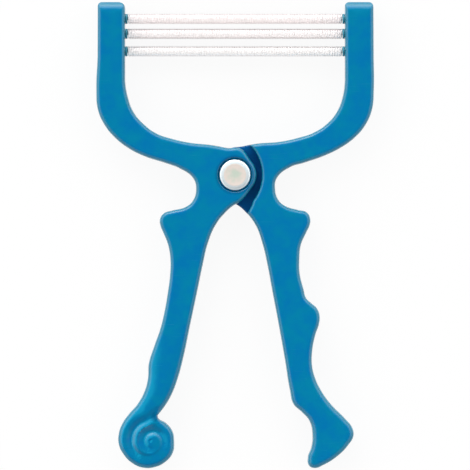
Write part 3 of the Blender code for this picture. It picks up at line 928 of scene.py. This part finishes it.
def triangulate(loop, circles, fine_centre):
    """Fills the plan between a loop and the bore. Gives points and triangles."""
    points = [loop, bore_ring]
    links = closed_links(0, len(loop)) + closed_links(len(loop), len(bore_ring))
    total = len(loop) + len(bore_ring)
    for centre, radius in circles:
        arc = circle(centre, radius, EDGE_STEP)
        keep = within(arc, loop) & (near_line(arc, loop) > ARC_CLEARANCE)
        numbers = np.cumsum(keep) - 1 + total
        links += [(int(numbers[i]), int(numbers[j]))
                  for i, j in closed_links(0, len(arc)) if keep[i] and keep[j]]
        points.append(arc[keep])
        total += int(keep.sum())
        off_circle = np.abs(away_from(loop, centre) - radius)
        for index in np.flatnonzero(off_circle < ON_CIRCLE):
            gap = away_from(arc, loop[index])
            gap[~keep] = math.inf
            links.append((int(index), int(numbers[np.argmin(gap)])))
    everything = np.vstack([*points, filler_points(loop, circles, fine_centre)])
    made = delaunay_2d_cdt([Vector(point) for point in everything], links, [], 0,
                           TRIANGULATION_MERGE)
    plan = np.array([point[:] for point in made[0]])
    triangles = np.array(made[2])
    middle = plan[triangles].mean(axis=1)
    clear = away_from(middle, (0, 0)) > BORE_RADIUS * BORE_KEEP_SHARE
    return plan, triangles[within(middle, loop) & clear]


# %% [markdown]
# The side of a moulded arm isn't quite upright. It leans in by a hair from the
# parting line at mid-height, so that the mould can let go, and a thin bead of
# flash runs along that line. Rows of the wall carry both. Where the lap leaves
# only half of the thickness, the rows press together against its face.

# %% A closed mesh, and a piece made of it
def closed_mesh(name, points, faces):
    """Mesh from points in millimetres, its faces turned outwards."""
    mesh = bpy.data.meshes.new(name)
    mesh.from_pydata(metres(points).tolist(), [], faces)
    mesh.validate()
    work = bmesh.new()
    work.from_mesh(mesh)
    bmesh.ops.recalc_face_normals(work, faces=work.faces)
    work.to_mesh(mesh)
    work.free()
    return mesh


def new_piece(name, mesh, material, sharp_angle):
    """Object with smooth shading that keeps sharp edges sharp."""
    mesh.materials.append(material)
    mesh.shade_smooth()
    mesh.set_sharp_from_angle(angle=sharp_angle)
    item = bpy.data.objects.new(name, mesh)
    bpy.context.scene.collection.objects.link(item)
    return item


# %% The finished relief as a mesh
DRAFT_INSET = 0.10
BEAD_HALF_HEIGHT = 0.10
BEAD_TOP_HALF = 0.05
BEAD_FOOT_INSET = 0.055
ROW_GAP = 0.012
WALL_ROWS = (
    (MID_HEIGHT + BEAD_HALF_HEIGHT, BEAD_FOOT_INSET),
    (MID_HEIGHT + BEAD_TOP_HALF, 0.0),
    (MID_HEIGHT - BEAD_TOP_HALF, 0.0),
    (MID_HEIGHT - BEAD_HALF_HEIGHT, BEAD_FOOT_INSET),
)


def boundary_loops(triangles):
    """Closed runs of vertices along the open edges of some triangles."""
    directed = {(int(start), int(end)) for corners in triangles
                for start, end in zip(corners, np.roll(corners, -1))}
    onward = {start: end for start, end in directed if (end, start) not in directed}
    loops = []
    while onward:
        start, here = onward.popitem()
        run = [start]
        while here != start:
            run.append(here)
            here = onward.pop(here)
        loops.append(run)
    return loops


def relief_mesh(name, plan, triangles, front, back):
    """Closed mesh between a front and a back height over the plan."""
    count = len(plan)
    places = [np.column_stack([plan, front]), np.column_stack([plan, back])]
    faces = triangles.tolist() + (triangles[:, ::-1] + count).tolist()
    total = 2 * count
    for run in boundary_loops(triangles):
        loop = plan[run]
        outer = np.ptp(loop[:, 1]) > BOSS_RADIUS * 2
        rows = [run]
        out = -inward(loop)
        for order, (height, inset) in enumerate(WALL_ROWS if outer else ()):
            below_it = len(WALL_ROWS) - order
            row_height = np.maximum(height, back[run] + ROW_GAP * below_it)
            row_height = np.minimum(row_height, front[run] - ROW_GAP * (order + 1))
            row = loop + out * (DRAFT_INSET - inset)
            places.append(np.column_stack([row, row_height]))
            rows.append(list(range(total, total + len(run))))
            total += len(run)
        rows.append([index + count for index in run])
        size = len(run)
        for above, below in zip(rows, rows[1:]):
            faces += [(above[i], below[i], below[j], above[j])
                      for i, j in closed_links(0, size)]
    return closed_mesh(name, np.vstack(places), faces)


# %% [markdown]
# ## The two reliefs
#
# Both arms are crossed half-laps. The left arm keeps its front half at the
# pivot and is stepped away behind, and the right arm is the other way round.
# The step follows two joined discs and leaves a dark, curved gap beside the
# left boss, one of the first things that the eye finds on the real tool. The
# front edges of the post's end, the scroll, its neck and the boot are rounder
# than the rest, but the edge in the scroll's notch is tight. The face of the
# scroll foot falls slowly towards its edge, and its groove is a soft valley
# along a spiral, wider on the outer side. On the back, shallow discs show where
# the mould's pins pushed the arm out.

# %% Soft and round falls
CROWN_ROUND = 2.8
CROWN_SLOPE = 0.75


def ease(value, low, high):
    """0 below low and 1 above high, with a soft change between."""
    share = np.clip((value - low) / (high - low), 0, 1)
    return share * share * (3 - 2 * share)


def arc_height(across, radius):
    """Height of a circle's arc at a distance across from its middle."""
    return np.sqrt(np.maximum(radius ** 2 - across ** 2, 0))


def fall(distance, radius):
    """How far a rounded edge lies below its face, at a distance from the edge."""
    return radius - arc_height(radius - np.clip(distance, 0, radius), radius)


def crown_fall(distance):
    """Drop of a post's front end: a round that ends in a slope of one in one."""
    reach = CROWN_ROUND * math.sqrt(0.5)
    width = reach + CROWN_SLOPE
    bend = CROWN_ROUND - arc_height(np.clip(width - distance, 0, reach), CROWN_ROUND)
    return bend + np.clip(CROWN_SLOPE - distance, 0, CROWN_SLOPE)


print("a post's front end falls by", round(float(crown_fall(0.0)), 2), "mm")

# %% Steps, recesses and pin marks
WALL_DRAFT = 0.02
LAP_EDGE_ROUND = 0.2
PIN_RADIUS = 1.6
PIN_BLEND = 0.1
PIN_DEPTH = 0.12


def lap_step(height, points, depth, side):
    """Lowers a face to the lap inside two joined discs, with a rounded lip."""
    out = np.min([away_from(points, (side * u, v)) - radius
                  for u, v, radius in LAP_DISCS], axis=0)
    lip = THICKNESS - fall(out - WALL_DRAFT, EDGE_ROUND)
    lap = MID_HEIGHT - LAP_HALF_GAP - fall(depth, LAP_EDGE_ROUND)
    wall = lap + (THICKNESS - EDGE_ROUND - lap) * np.clip(out / WALL_DRAFT, 0, 1)
    return np.where(out < WALL_DRAFT, np.minimum(wall, height), np.minimum(height, lip))


def recess(height, points, radius, floor):
    """Lowers a face to the floor of a round recess, with a rounded lip."""
    out = away_from(points, (0, 0)) - radius
    lip = THICKNESS - fall(out - WALL_DRAFT, LIP_ROUND)
    wall = floor + (THICKNESS - LIP_ROUND - floor) * np.clip(out / WALL_DRAFT, 0, 1)
    return np.minimum(height, np.where(out < WALL_DRAFT, wall, lip))


def pin_marks(height, points, pins):
    """Shallow discs that the mould's pins leave."""
    for pin in pins:
        away = away_from(points, pin)
        rim = ease(away, PIN_RADIUS - PIN_BLEND, PIN_RADIUS + PIN_BLEND)
        height = height - PIN_DEPTH * (1 - rim)
    return height


# %% The scroll's groove
GROOVE_DEPTH = 0.70
REAR_GROOVE_DEPTH = 0.5
GROOVE_HALF_WIDTH = 0.85
GROOVE_OUTER_WIDTH = 1.6
GROOVE_REACH = SCROLL_RADIUS * 1.3
GROOVE_SHARES = (
    (-0.40, 1.00), (-0.05, 0.76), (0.34, 0.52), (0.53, 0.14), (0.47, -0.28),
    (0.17, -0.54), (-0.22, -0.56), (-0.53, -0.34), (-0.61, -0.02),
    (-0.46, 0.26), (-0.16, 0.32), (0.06, 0.14), (0.06, -0.12),
    (-0.12, -0.30), (-0.33, -0.28),
)
GROOVE_DEPTH_SHARES = (
    0.25, 0.50, 0.85, 1.00, 0.75, 0.35, 0.20, 0.25, 0.50, 0.80, 0.90, 0.70, 0.40,
    0.20, 0.05,
)


def groove(points, side, depth):
    """Depth of the scroll's spiral groove."""
    centre = np.array([side * SCROLL_CENTRE[0], SCROLL_CENTRE[1]])
    spiral = [(side * u, v, kind) for u, v, kind in
              around(SCROLL_CENTRE, SCROLL_RADIUS, GROOVE_SHARES)]
    line = even_line(curve_line(spiral, False), FINE_STEP, False)
    marks = [int(np.argmin(away_from(line, point[:2]))) for point in spiral]
    shares = np.interp(np.arange(len(line)), marks, GROOVE_DEPTH_SHARES)
    close = np.flatnonzero(away_from(points, centre) < GROOVE_REACH)
    fallen = np.zeros(len(points))
    gap = near_line(points[close], line, False)
    nearest = [int(np.argmin(away_from(line, point))) for point in points[close]]
    outer = away_from(points[close], centre) > away_from(line[nearest], centre)
    width = np.where(outer, GROOVE_OUTER_WIDTH, GROOVE_HALF_WIDTH)
    fallen[close] = depth * shares[nearest] * np.exp(-(gap / width) ** 2)
    return fallen


# %% How round the front edge is
FRONT_ROUND = 1.2
SCROLL_EDGE_ROUND = 1.35
SCROLL_ROUND_START = 30
BOOT_EDGE_ROUND = 1.5
BOOT_ROUND_START = 55
FOOT_ROUND_FULL = 67
NOTCH_EDGE_ROUND = 0.5
NOTCH_ROUND_ENDS = (1.0, 3.2)
SCROLL_DOME = 0.26
SCROLL_DOME_WIDTH = 3.4
SCROLL_DOME_ENDS = (40, 60)


def front_round(points, side):
    """Radius of the front edge at each point of the plan."""
    if side < 0:
        foot, start = SCROLL_EDGE_ROUND, SCROLL_ROUND_START
    else:
        foot, start = BOOT_EDGE_ROUND, BOOT_ROUND_START
    share = ease(-points[:, 1], start, FOOT_ROUND_FULL)
    rounds = FRONT_ROUND + (foot - FRONT_ROUND) * share
    near_notch = 1 - ease(away_from(points, NOTCH_HOLLOW), *NOTCH_ROUND_ENDS)
    return rounds + (NOTCH_EDGE_ROUND - rounds) * near_notch


def scroll_dome(points, depth):
    """Slow fall of the scroll foot's face towards its edge."""
    near_edge = 1 - ease(depth, 0, SCROLL_DOME_WIDTH)
    return SCROLL_DOME * ease(-points[:, 1], *SCROLL_DOME_ENDS) * near_edge


spots = np.array([(-35.0, 30.0), NOTCH_HOLLOW, (-26.0, -85.0)])
print("edge at the post, notch and scroll:", front_round(spots, -1).round(2), "mm")

# %% Front and back heights of an arm
BACK_CROWN_ROUND = 1.1
RIGHT_PINS = (
    (37.4, 47.5), (37.2, 27.0), (13.6, -16.0), (15.6, -42.0), (28.5, -79.0),
)
LEFT_PINS = (
    (-37.4, 47.5), (-37.2, 27.0), (-13.6, -16.0), (-16.6, -46.0), (-22.0, -64.5),
)


def arm_heights(points, depth, side):
    """Front and back heights of an arm over points of its plan."""
    to_crown = JAW_HEIGHT - DRAFT_INSET - points[:, 1]
    front = THICKNESS - fall(depth, front_round(points, side))
    if side < 0:
        front = front - scroll_dome(points, depth)
    front = np.minimum(front, THICKNESS - crown_fall(to_crown))
    rear = THICKNESS - fall(depth, EDGE_ROUND)
    rear = np.minimum(rear, THICKNESS - fall(to_crown, BACK_CROWN_ROUND))
    rear = pin_marks(rear, points, RIGHT_PINS if side > 0 else LEFT_PINS)
    if side > 0:
        washer_floor = THICKNESS - WASHER_RECESS_DEPTH
        front = lap_step(front, points, depth, side)
        rear = recess(rear, points, WASHER_RECESS_RADIUS, washer_floor)
    else:
        rear = lap_step(rear, points, depth, side)
        front = recess(front, points, HEAD_RECESS_RADIUS, HEAD_RECESS_FLOOR)
        front = front - groove(points, side, GROOVE_DEPTH)
        rear = rear - groove(points, side, REAR_GROOVE_DEPTH)
    return front, THICKNESS - rear


# %% Build the arms
ARM_SHARP_ANGLE = math.radians(38)
LIP_TURNS = (0.0, 30.0, 50.0, 70.0, 90.0)


def make_arm(side, outline):
    """Arm on one side of the pivot, from its outline."""
    loop = curve_line([(side * u, v, kind) for u, v, kind in outline], True)
    if cross(loop, np.roll(loop, -1, 0)).sum() < 0:
        loop = loop[::-1]
    loop = even_line(loop, EDGE_STEP, True)
    loop = loop + inward(loop) * DRAFT_INSET
    lips = [1 - math.cos(math.radians(turn)) for turn in LIP_TURNS]
    circles = []
    for u, v, radius in LAP_DISCS:
        centre = np.array([side * u, v])
        steps = [radius] + [radius + WALL_DRAFT + EDGE_ROUND * lip for lip in lips]
        loop = split_at_circles(loop, centre, steps)
        circles += [(centre, step) for step in steps]
    radius = WASHER_RECESS_RADIUS if side > 0 else HEAD_RECESS_RADIUS
    circles.append((np.zeros(2), radius))
    circles += [(np.zeros(2), radius + WALL_DRAFT + LIP_ROUND * lip) for lip in lips]
    scroll = np.array([-SCROLL_CENTRE[0], SCROLL_CENTRE[1]]) if side < 0 else None
    plan, triangles = triangulate(loop, circles, scroll)
    depth = near_line(plan, loop)
    front, back = arm_heights(plan, depth, side)
    name = "moulded_arm_right" if side > 0 else "moulded_arm_left"
    mesh = relief_mesh(name, plan, triangles, front, back)
    arm = new_piece(name, mesh, blue_plastic, ARM_SHARP_ANGLE)
    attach(arm, "right_body" if side > 0 else "left_body")
    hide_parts("right_arm" if side > 0 else "left_arm")
    print(f"{name}: {len(mesh.vertices)} vertices, {len(mesh.polygons)} faces")


make_arm(-1, left_outline())
make_arm(1, right_outline())

# %% [markdown]
# ## Springs
#
# Each spring is a close-wound coil of half-millimetre wire, so fine that from
# the front it reads as a bright rod with faint streaks. A bevelled curve would
# do at rest, but the spring has to stretch when the posts spread, and only a
# mesh can be blended between two bodies. So rings of vertices are swept along
# the wire. At both ends the wire turns in to the axis and enters its plug.

# %% The wire's path
WIRE_RADIUS = 0.245
WIRE_PITCH = 0.5
COIL_HALF_LENGTH = 32.1
TURN_POINTS = 22
TURN_IN_POINTS = 10
TURN_IN_ADVANCE = 0.35
TURN_IN_SWEEP = math.pi * 0.75
TURN_IN_CURVE = 0.7
TANG_LENGTH = 0.5


def wire_path():
    """Points along the wire from plug to plug, about the X axis."""
    radius = SPRING_RADIUS - WIRE_RADIUS
    turns = round(2 * COIL_HALF_LENGTH / WIRE_PITCH)
    angle = np.linspace(0, turns * math.tau, turns * TURN_POINTS + 1)
    along = np.linspace(-COIL_HALF_LENGTH, COIL_HALF_LENGTH, len(angle))
    reach = np.full(len(angle), radius)
    share = np.linspace(0, 1, TURN_IN_POINTS + 1)[1:]
    end_reach = radius * np.cos(share * math.pi / 2) ** TURN_IN_CURVE
    end_angle = share * TURN_IN_SWEEP
    end_along = COIL_HALF_LENGTH + TURN_IN_ADVANCE * share ** 2
    tang = end_along[-1] + np.array([TANG_LENGTH / 4, TANG_LENGTH])
    angle = np.concatenate([[0, 0], -end_angle[::-1], angle,
                            angle[-1] + end_angle, [0, 0]])
    along = np.concatenate([-tang[::-1], -end_along[::-1], along, end_along, tang])
    reach = np.concatenate([[0, 0], end_reach[::-1], reach, end_reach, [0, 0]])
    return np.column_stack([along, reach * np.cos(angle), reach * np.sin(angle)])


print("points along one wire:", len(wire_path()))

# %% A tube swept along the path
ON_AXIS = 0.02


def swept_tube(path, radius, sides):
    """Vertices and faces of a closed tube along a path."""
    ahead = unit(np.gradient(path, axis=0))
    outward = np.column_stack([np.zeros(len(path)), path[:, 1:]])
    outward[np.linalg.norm(outward, axis=1) < ON_AXIS] = (0, 1, 0)
    outward = unit(outward - ahead * (outward * ahead).sum(axis=1, keepdims=True))
    sideways = np.cross(ahead, outward)
    angles = np.arange(sides) * math.tau / sides
    rings = [path + radius * (math.cos(angle) * outward + math.sin(angle) * sideways)
             for angle in angles]
    vertices = np.stack(rings, axis=1).reshape(-1, 3)
    faces = []
    for ring in range(len(path) - 1):
        here, after = ring * sides, (ring + 1) * sides
        faces += [(here + i, here + j, after + j, after + i)
                  for i, j in closed_links(0, sides)]
    last = (len(path) - 1) * sides
    faces += [tuple(range(sides))[::-1], tuple(range(last, last + sides))]
    return vertices, faces


# %% Wind the springs
WIRE_SIDES = 8
SPRING_SHARP_ANGLE = math.radians(60)


def make_spring(row, height):
    """Close-wound spring that stretches between the two posts."""
    vertices, faces = swept_tube(wire_path(), WIRE_RADIUS, WIRE_SIDES)
    vertices = vertices + (0, height, MID_HEIGHT)
    name = f"wound_spring_{row}"
    mesh = closed_mesh(name, vertices, faces)
    metal = spring_metals[row]
    spring = new_piece(name, mesh, metal, SPRING_SHARP_ANGLE)
    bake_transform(spring)
    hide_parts(f"{row}_spring")
    print(f"{name}: {len(mesh.polygons)} faces")


for row, height in SPRING_ROWS.items():
    make_spring(row, height)

# %% [markdown]
# ## Turned pieces
#
# The rivet, its washer and the plugs are round, so each is a profile turned
# about an axis. Real metal and plastic edges are never knife sharp, and a thin
# bright line along them is what makes a small part look solid, so the profiles
# carry small rounds. The rivet's head has a nearly flat face, slightly dished,
# and a full, round rim that catches the light, as in the photograph.

# %% Turn a profile about an axis
TURNED_SIDES = 96
PLUG_SIDES = 40
TURNED_SHARP_ANGLE = math.radians(50)
ROUND_REACH_SHARE = 0.45
ROUND_STEPS = 4
ON_SPINDLE = 1e-6
SAME_PLACE_METRES = 1e-8


def rounded(profile, radius):
    """Profile with each inner point replaced by a small round."""
    points = [np.array(profile[0], float)]
    for before, here, after in zip(profile, profile[1:], profile[2:]):
        here = np.array(here, float)
        to_before, to_after = np.array(before) - here, np.array(after) - here
        reach = min(radius, np.linalg.norm(to_before) * ROUND_REACH_SHARE,
                    np.linalg.norm(to_after) * ROUND_REACH_SHARE)
        start, end = here + unit(to_before) * reach, here + unit(to_after) * reach
        for share in np.linspace(0, 1, ROUND_STEPS + 1):
            points.append((1 - share) ** 2 * start + 2 * share * (1 - share) * here
                          + share ** 2 * end)
    return points + [np.array(profile[-1], float)]


def turned_mesh(name, profile, sides):
    """Closed mesh of a profile of (radius, height) turned about Z."""
    work = bmesh.new()
    rings = []
    for radius, height in profile:
        if radius < ON_SPINDLE:
            rings.append([work.verts.new((0, 0, height * MM))] * sides)
            continue
        ring = circle(np.zeros(2), radius, math.tau * radius / sides) * MM
        rings.append([work.verts.new((x, y, height * MM)) for x, y in ring])
    for upper, lower in zip(rings, rings[1:]):
        for i, j in closed_links(0, sides):
            corners = [upper[i], lower[i], lower[j], upper[j]]
            if len(set(corners)) > 2:
                work.faces.new(list(dict.fromkeys(corners)))
    bmesh.ops.remove_doubles(work, verts=work.verts, dist=SAME_PLACE_METRES)
    bmesh.ops.recalc_face_normals(work, faces=work.faces)
    mesh = bpy.data.meshes.new(name)
    work.to_mesh(mesh)
    work.free()
    return mesh


# %% The rivet
FACE_RADIUS = 3.15
FACE_DROPS = ((0.0, 0.05), (FACE_RADIUS * 0.7, 0.04), (3.0, 0.025), (FACE_RADIUS, 0.005))
RIM_DROP = 0.72
RIM_START_ANGLE = math.radians(24)
RIM_STEPS = 10
TAIL_FLAT_RADIUS = TAIL_RADIUS * 0.5
TAIL_DIMPLE_RADIUS = TAIL_RADIUS * 0.36
TAIL_DIMPLE_DEPTHS = (0.16, 0.2)
RIVET_ROUND = 0.22


def head_profile():
    """Points (radius, height) of the rivet's dished face and round rim."""
    points = [(radius, HEAD_TOP - drop) for radius, drop in FACE_DROPS]
    low, high = math.sin(RIM_START_ANGLE), math.cos(RIM_START_ANGLE)
    for angle in np.linspace(RIM_START_ANGLE, math.pi / 2, RIM_STEPS + 1)[1:]:
        across = (math.sin(angle) - low) / (1 - low)
        reach = FACE_RADIUS + (HEAD_RADIUS - FACE_RADIUS) * across
        points.append((reach, HEAD_TOP - RIM_DROP * (1 - math.cos(angle) / high)))
    return points


def make_rivet():
    """Rivet with a full rim at the front and a peened tail."""
    head = head_profile()
    foot, dimple = TAIL_DIMPLE_DEPTHS
    low = [
        (HEAD_RADIUS, HEAD_UNDERSIDE), (SHANK_RADIUS, HEAD_UNDERSIDE),
        (SHANK_RADIUS, TAIL_HEIGHT), (TAIL_RADIUS, TAIL_HEIGHT), (TAIL_RADIUS, 0),
        (TAIL_FLAT_RADIUS, 0), (TAIL_DIMPLE_RADIUS, foot), (0, dimple),
    ]
    profile = head + rounded([head[-1], *low], RIVET_ROUND)[1:]
    name = "riveted_pivot"
    mesh = turned_mesh(name, profile, TURNED_SIDES)
    rivet = new_piece(name, mesh, rivet_metal, TURNED_SHARP_ANGLE)
    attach(rivet, "left_body")
    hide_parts("pivot_rivet")
    print(f"{name}: {len(mesh.polygons)} faces")


make_rivet()

# %% The washer
WASHER_ROUND = 0.08


def make_washer():
    """Thin washer under the rivet's tail."""
    bore, out = BORE_RADIUS, WASHER_RADIUS
    corners = [(bore, WASHER_LOW), (bore, WASHER_HIGH), (out, WASHER_HIGH),
               (out, WASHER_LOW)]
    middle = ((bore + out) / 2, WASHER_LOW)
    profile = rounded([middle, *corners, middle], WASHER_ROUND)
    name = "thin_washer"
    mesh = turned_mesh(name, profile, TURNED_SIDES)
    washer = new_piece(name, mesh, rivet_metal, TURNED_SHARP_ANGLE)
    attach(washer, "left_body")
    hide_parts("rivet_washer")
    print(f"{name}: {len(mesh.polygons)} faces")


make_washer()

# %% Plugs
PLUG_ROUND = 0.10
COLLAR_FACE = 32.4
SOCKET_RADIUS = 1.15
SOCKET_DEPTH = 0.18
TANG_HOLE_RADIUS = 0.32
TANG_HOLE_DEPTH = 1.0


def make_plug(side, row, height):
    """Plug with a rounded collar and a stem that goes into the post."""
    word = "right" if side > 0 else "left"
    name = f"end_plug_{word}_{row}"
    face, back = COLLAR_FACE - COLLAR_BACK, 0.0
    stem = STEM_END - COLLAR_BACK
    floor, end = face + SOCKET_DEPTH, face + TANG_HOLE_DEPTH
    profile = [(0, stem), (STEM_RADIUS, stem), (STEM_RADIUS, back),
               (COLLAR_RADIUS, back), (COLLAR_RADIUS, face), (SOCKET_RADIUS, face),
               (SOCKET_RADIUS, floor), (TANG_HOLE_RADIUS, floor),
               (TANG_HOLE_RADIUS, end), (0, end)]
    mesh = turned_mesh(name, rounded(profile, PLUG_ROUND), PLUG_SIDES)
    place = Matrix.Translation(metres((side * COLLAR_BACK, height, MID_HEIGHT)))
    mesh.transform(place @ Matrix.Rotation(side * math.pi / 2, 4, "Y"))
    plug = new_piece(name, mesh, teal_plastic, TURNED_SHARP_ANGLE)
    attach(plug, f"{word}_body")
    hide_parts(f"{word}_{row}_plug")
    print(f"{name}: {len(mesh.polygons)} faces")


for row, height in SPRING_ROWS.items():
    for side in (-1, 1):
        make_plug(side, row, height)

# %% [markdown]
# ## Floor, light and camera
#
# The photograph is a cut-out on white, lit softly from all round with a little
# more light from the upper left. The floor's own colour is white, and for the
# camera and for reflections most of it glows at strength one, which leaves the
# background white and the shadow faint. The world lights the tool like a tent
# with bright walls and a dark roof, because flat faces that mirror a bright
# roof lose their colour. It is brighter beyond the posts, with a soft glow in
# that direction, and one large lamp at the upper left adds to it.

# %% Floor
FLOOR_HALF_METRES = 4.0
FLOOR_DROP = 0.05
FLOOR_GLOW = 0.92
PAPER = (0.93, 0.93, 0.93, 1)
WHITE = (1, 1, 1, 1)


def make_paper():
    """White that glows for the camera, and is plain paper for the light."""
    material = bpy.data.materials.new("white_floor")
    graph = Graph(material)
    nodes = graph.tree.nodes
    nodes.remove(nodes["Principled BSDF"])
    paper = graph.node("BsdfDiffuse", {}, {"Color": PAPER})
    glow = graph.node("Emission", {}, {"Color": WHITE, "Strength": 1.0})
    seen = graph.node("LightPath", {}, {}, "Is Camera Ray")
    seen = seen + graph.node("LightPath", {}, {}, "Is Glossy Ray")
    seen = seen + graph.node("LightPath", {}, {}, "Is Transmission Ray")
    both = graph.node("MixShader", {}, {"Fac": seen * FLOOR_GLOW, 1: paper, 2: glow})
    graph.fill(nodes["Material Output"], {"Surface": both})
    return material


def make_floor():
    """White floor that keeps a faint shadow."""
    mesh = bpy.data.meshes.new("floor")
    half, drop = FLOOR_HALF_METRES, FLOOR_DROP * MM
    corners = [(-half, -half), (half, -half), (half, half), (-half, half)]
    mesh.from_pydata([(x, y, -drop) for x, y in corners], [], [(0, 1, 2, 3)])
    mesh.materials.append(make_paper())
    floor = bpy.data.objects.new("floor", mesh)
    bpy.context.scene.collection.objects.link(floor)
    floor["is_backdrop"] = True
    print("floor:", FLOOR_DROP, "mm below the tool")


make_floor()

# %% World
TENT_LEVELS = (
    (0.0, 1.75), (0.25, 1.95), (0.50, 1.80), (0.70, 1.15), (0.85, 0.26),
    (0.93, 0.04), (1.0, 0.02),
)
TENT_LEAN = (-0.10, 0.55, 0.0)
GLOW_WAY = (-0.22, 0.966, 0.14)
GLOW_NARROWNESS = 18.0
GLOW_LEVEL = 1.25


def make_world():
    """World like a light tent."""
    world = bpy.data.worlds.new("light_tent")
    bpy.context.scene.world = world
    graph = Graph(world)
    direction = graph.node("TexCoord", {}, {}, "Generated")
    stops = [(place, (level, level, level, 1)) for place, level in TENT_LEVELS]
    tent = graph.node("ValToRGB", {"stops": stops}, {"Fac": direction.part("Z")})
    toward = direction.lean(GLOW_WAY).largest(0.0)
    glow = toward ** GLOW_NARROWNESS * GLOW_LEVEL
    strength = 1 + direction.lean(TENT_LEAN) + glow
    graph.fill(graph.tree.nodes["Background"], {"Color": tent, "Strength": strength})
    print("world:", len(graph.tree.nodes), "nodes")


make_world()

# %% Lamp
LAMP_PLACE = Vector((-0.55, 1.25, 0.70))
LAMP_SIZE = 0.8
LAMP_POWER = 3.5


def make_lamp():
    """Large lamp at the upper left."""
    data = bpy.data.lights.new("upper_left_lamp", "AREA")
    data.shape = "SQUARE"
    data.size = LAMP_SIZE
    data.energy = LAMP_POWER
    lamp = bpy.data.objects.new("upper_left_lamp", data)
    lamp.location = LAMP_PLACE
    lamp.rotation_mode = "QUATERNION"
    lamp.rotation_quaternion = LAMP_PLACE.to_track_quat("Z", "Y")
    bpy.context.scene.collection.objects.link(lamp)
    print("lamp:", round(LAMP_PLACE.length, 2), "m away")


make_lamp()

# %% Camera
PHOTO_WIDTH = 141.66
PHOTO_CENTRE = (0.0, -18.1)
PHOTO_PLANE = 4.0
LENS = 600
SENSOR = 36
SEEN_FROM_METRES = 0.1
SEEN_TO_METRES = 20


def make_camera():
    """Long lens straight above, framed as the photograph is."""
    data = bpy.data.cameras.new("camera")
    data.lens = LENS
    data.sensor_width = SENSOR
    data.clip_start, data.clip_end = SEEN_FROM_METRES, SEEN_TO_METRES
    camera = bpy.data.objects.new("camera", data)
    height = PHOTO_WIDTH * LENS / SENSOR + PHOTO_PLANE
    camera.location = metres((*PHOTO_CENTRE, height))
    bpy.context.scene.collection.objects.link(camera)
    bpy.context.scene.camera = camera
    bpy.context.scene.view_settings.view_transform = "Standard"
    print("camera:", round(height * MM, 2), "m above the tool")


make_camera()

# %% [markdown]
# ## Check the size
#
# The dressed tool has to stay inside the box of its solids. Both boxes are
# measured, and their sizes printed here in millimetres.

# %% Compare the two boxes and finish
dressed_box = [list(corner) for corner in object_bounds()]
for label, box in (("solids", solid_box), ("dressed", dressed_box)):
    print(label, [round((high - low) / MM, 2) for low, high in zip(*box)])
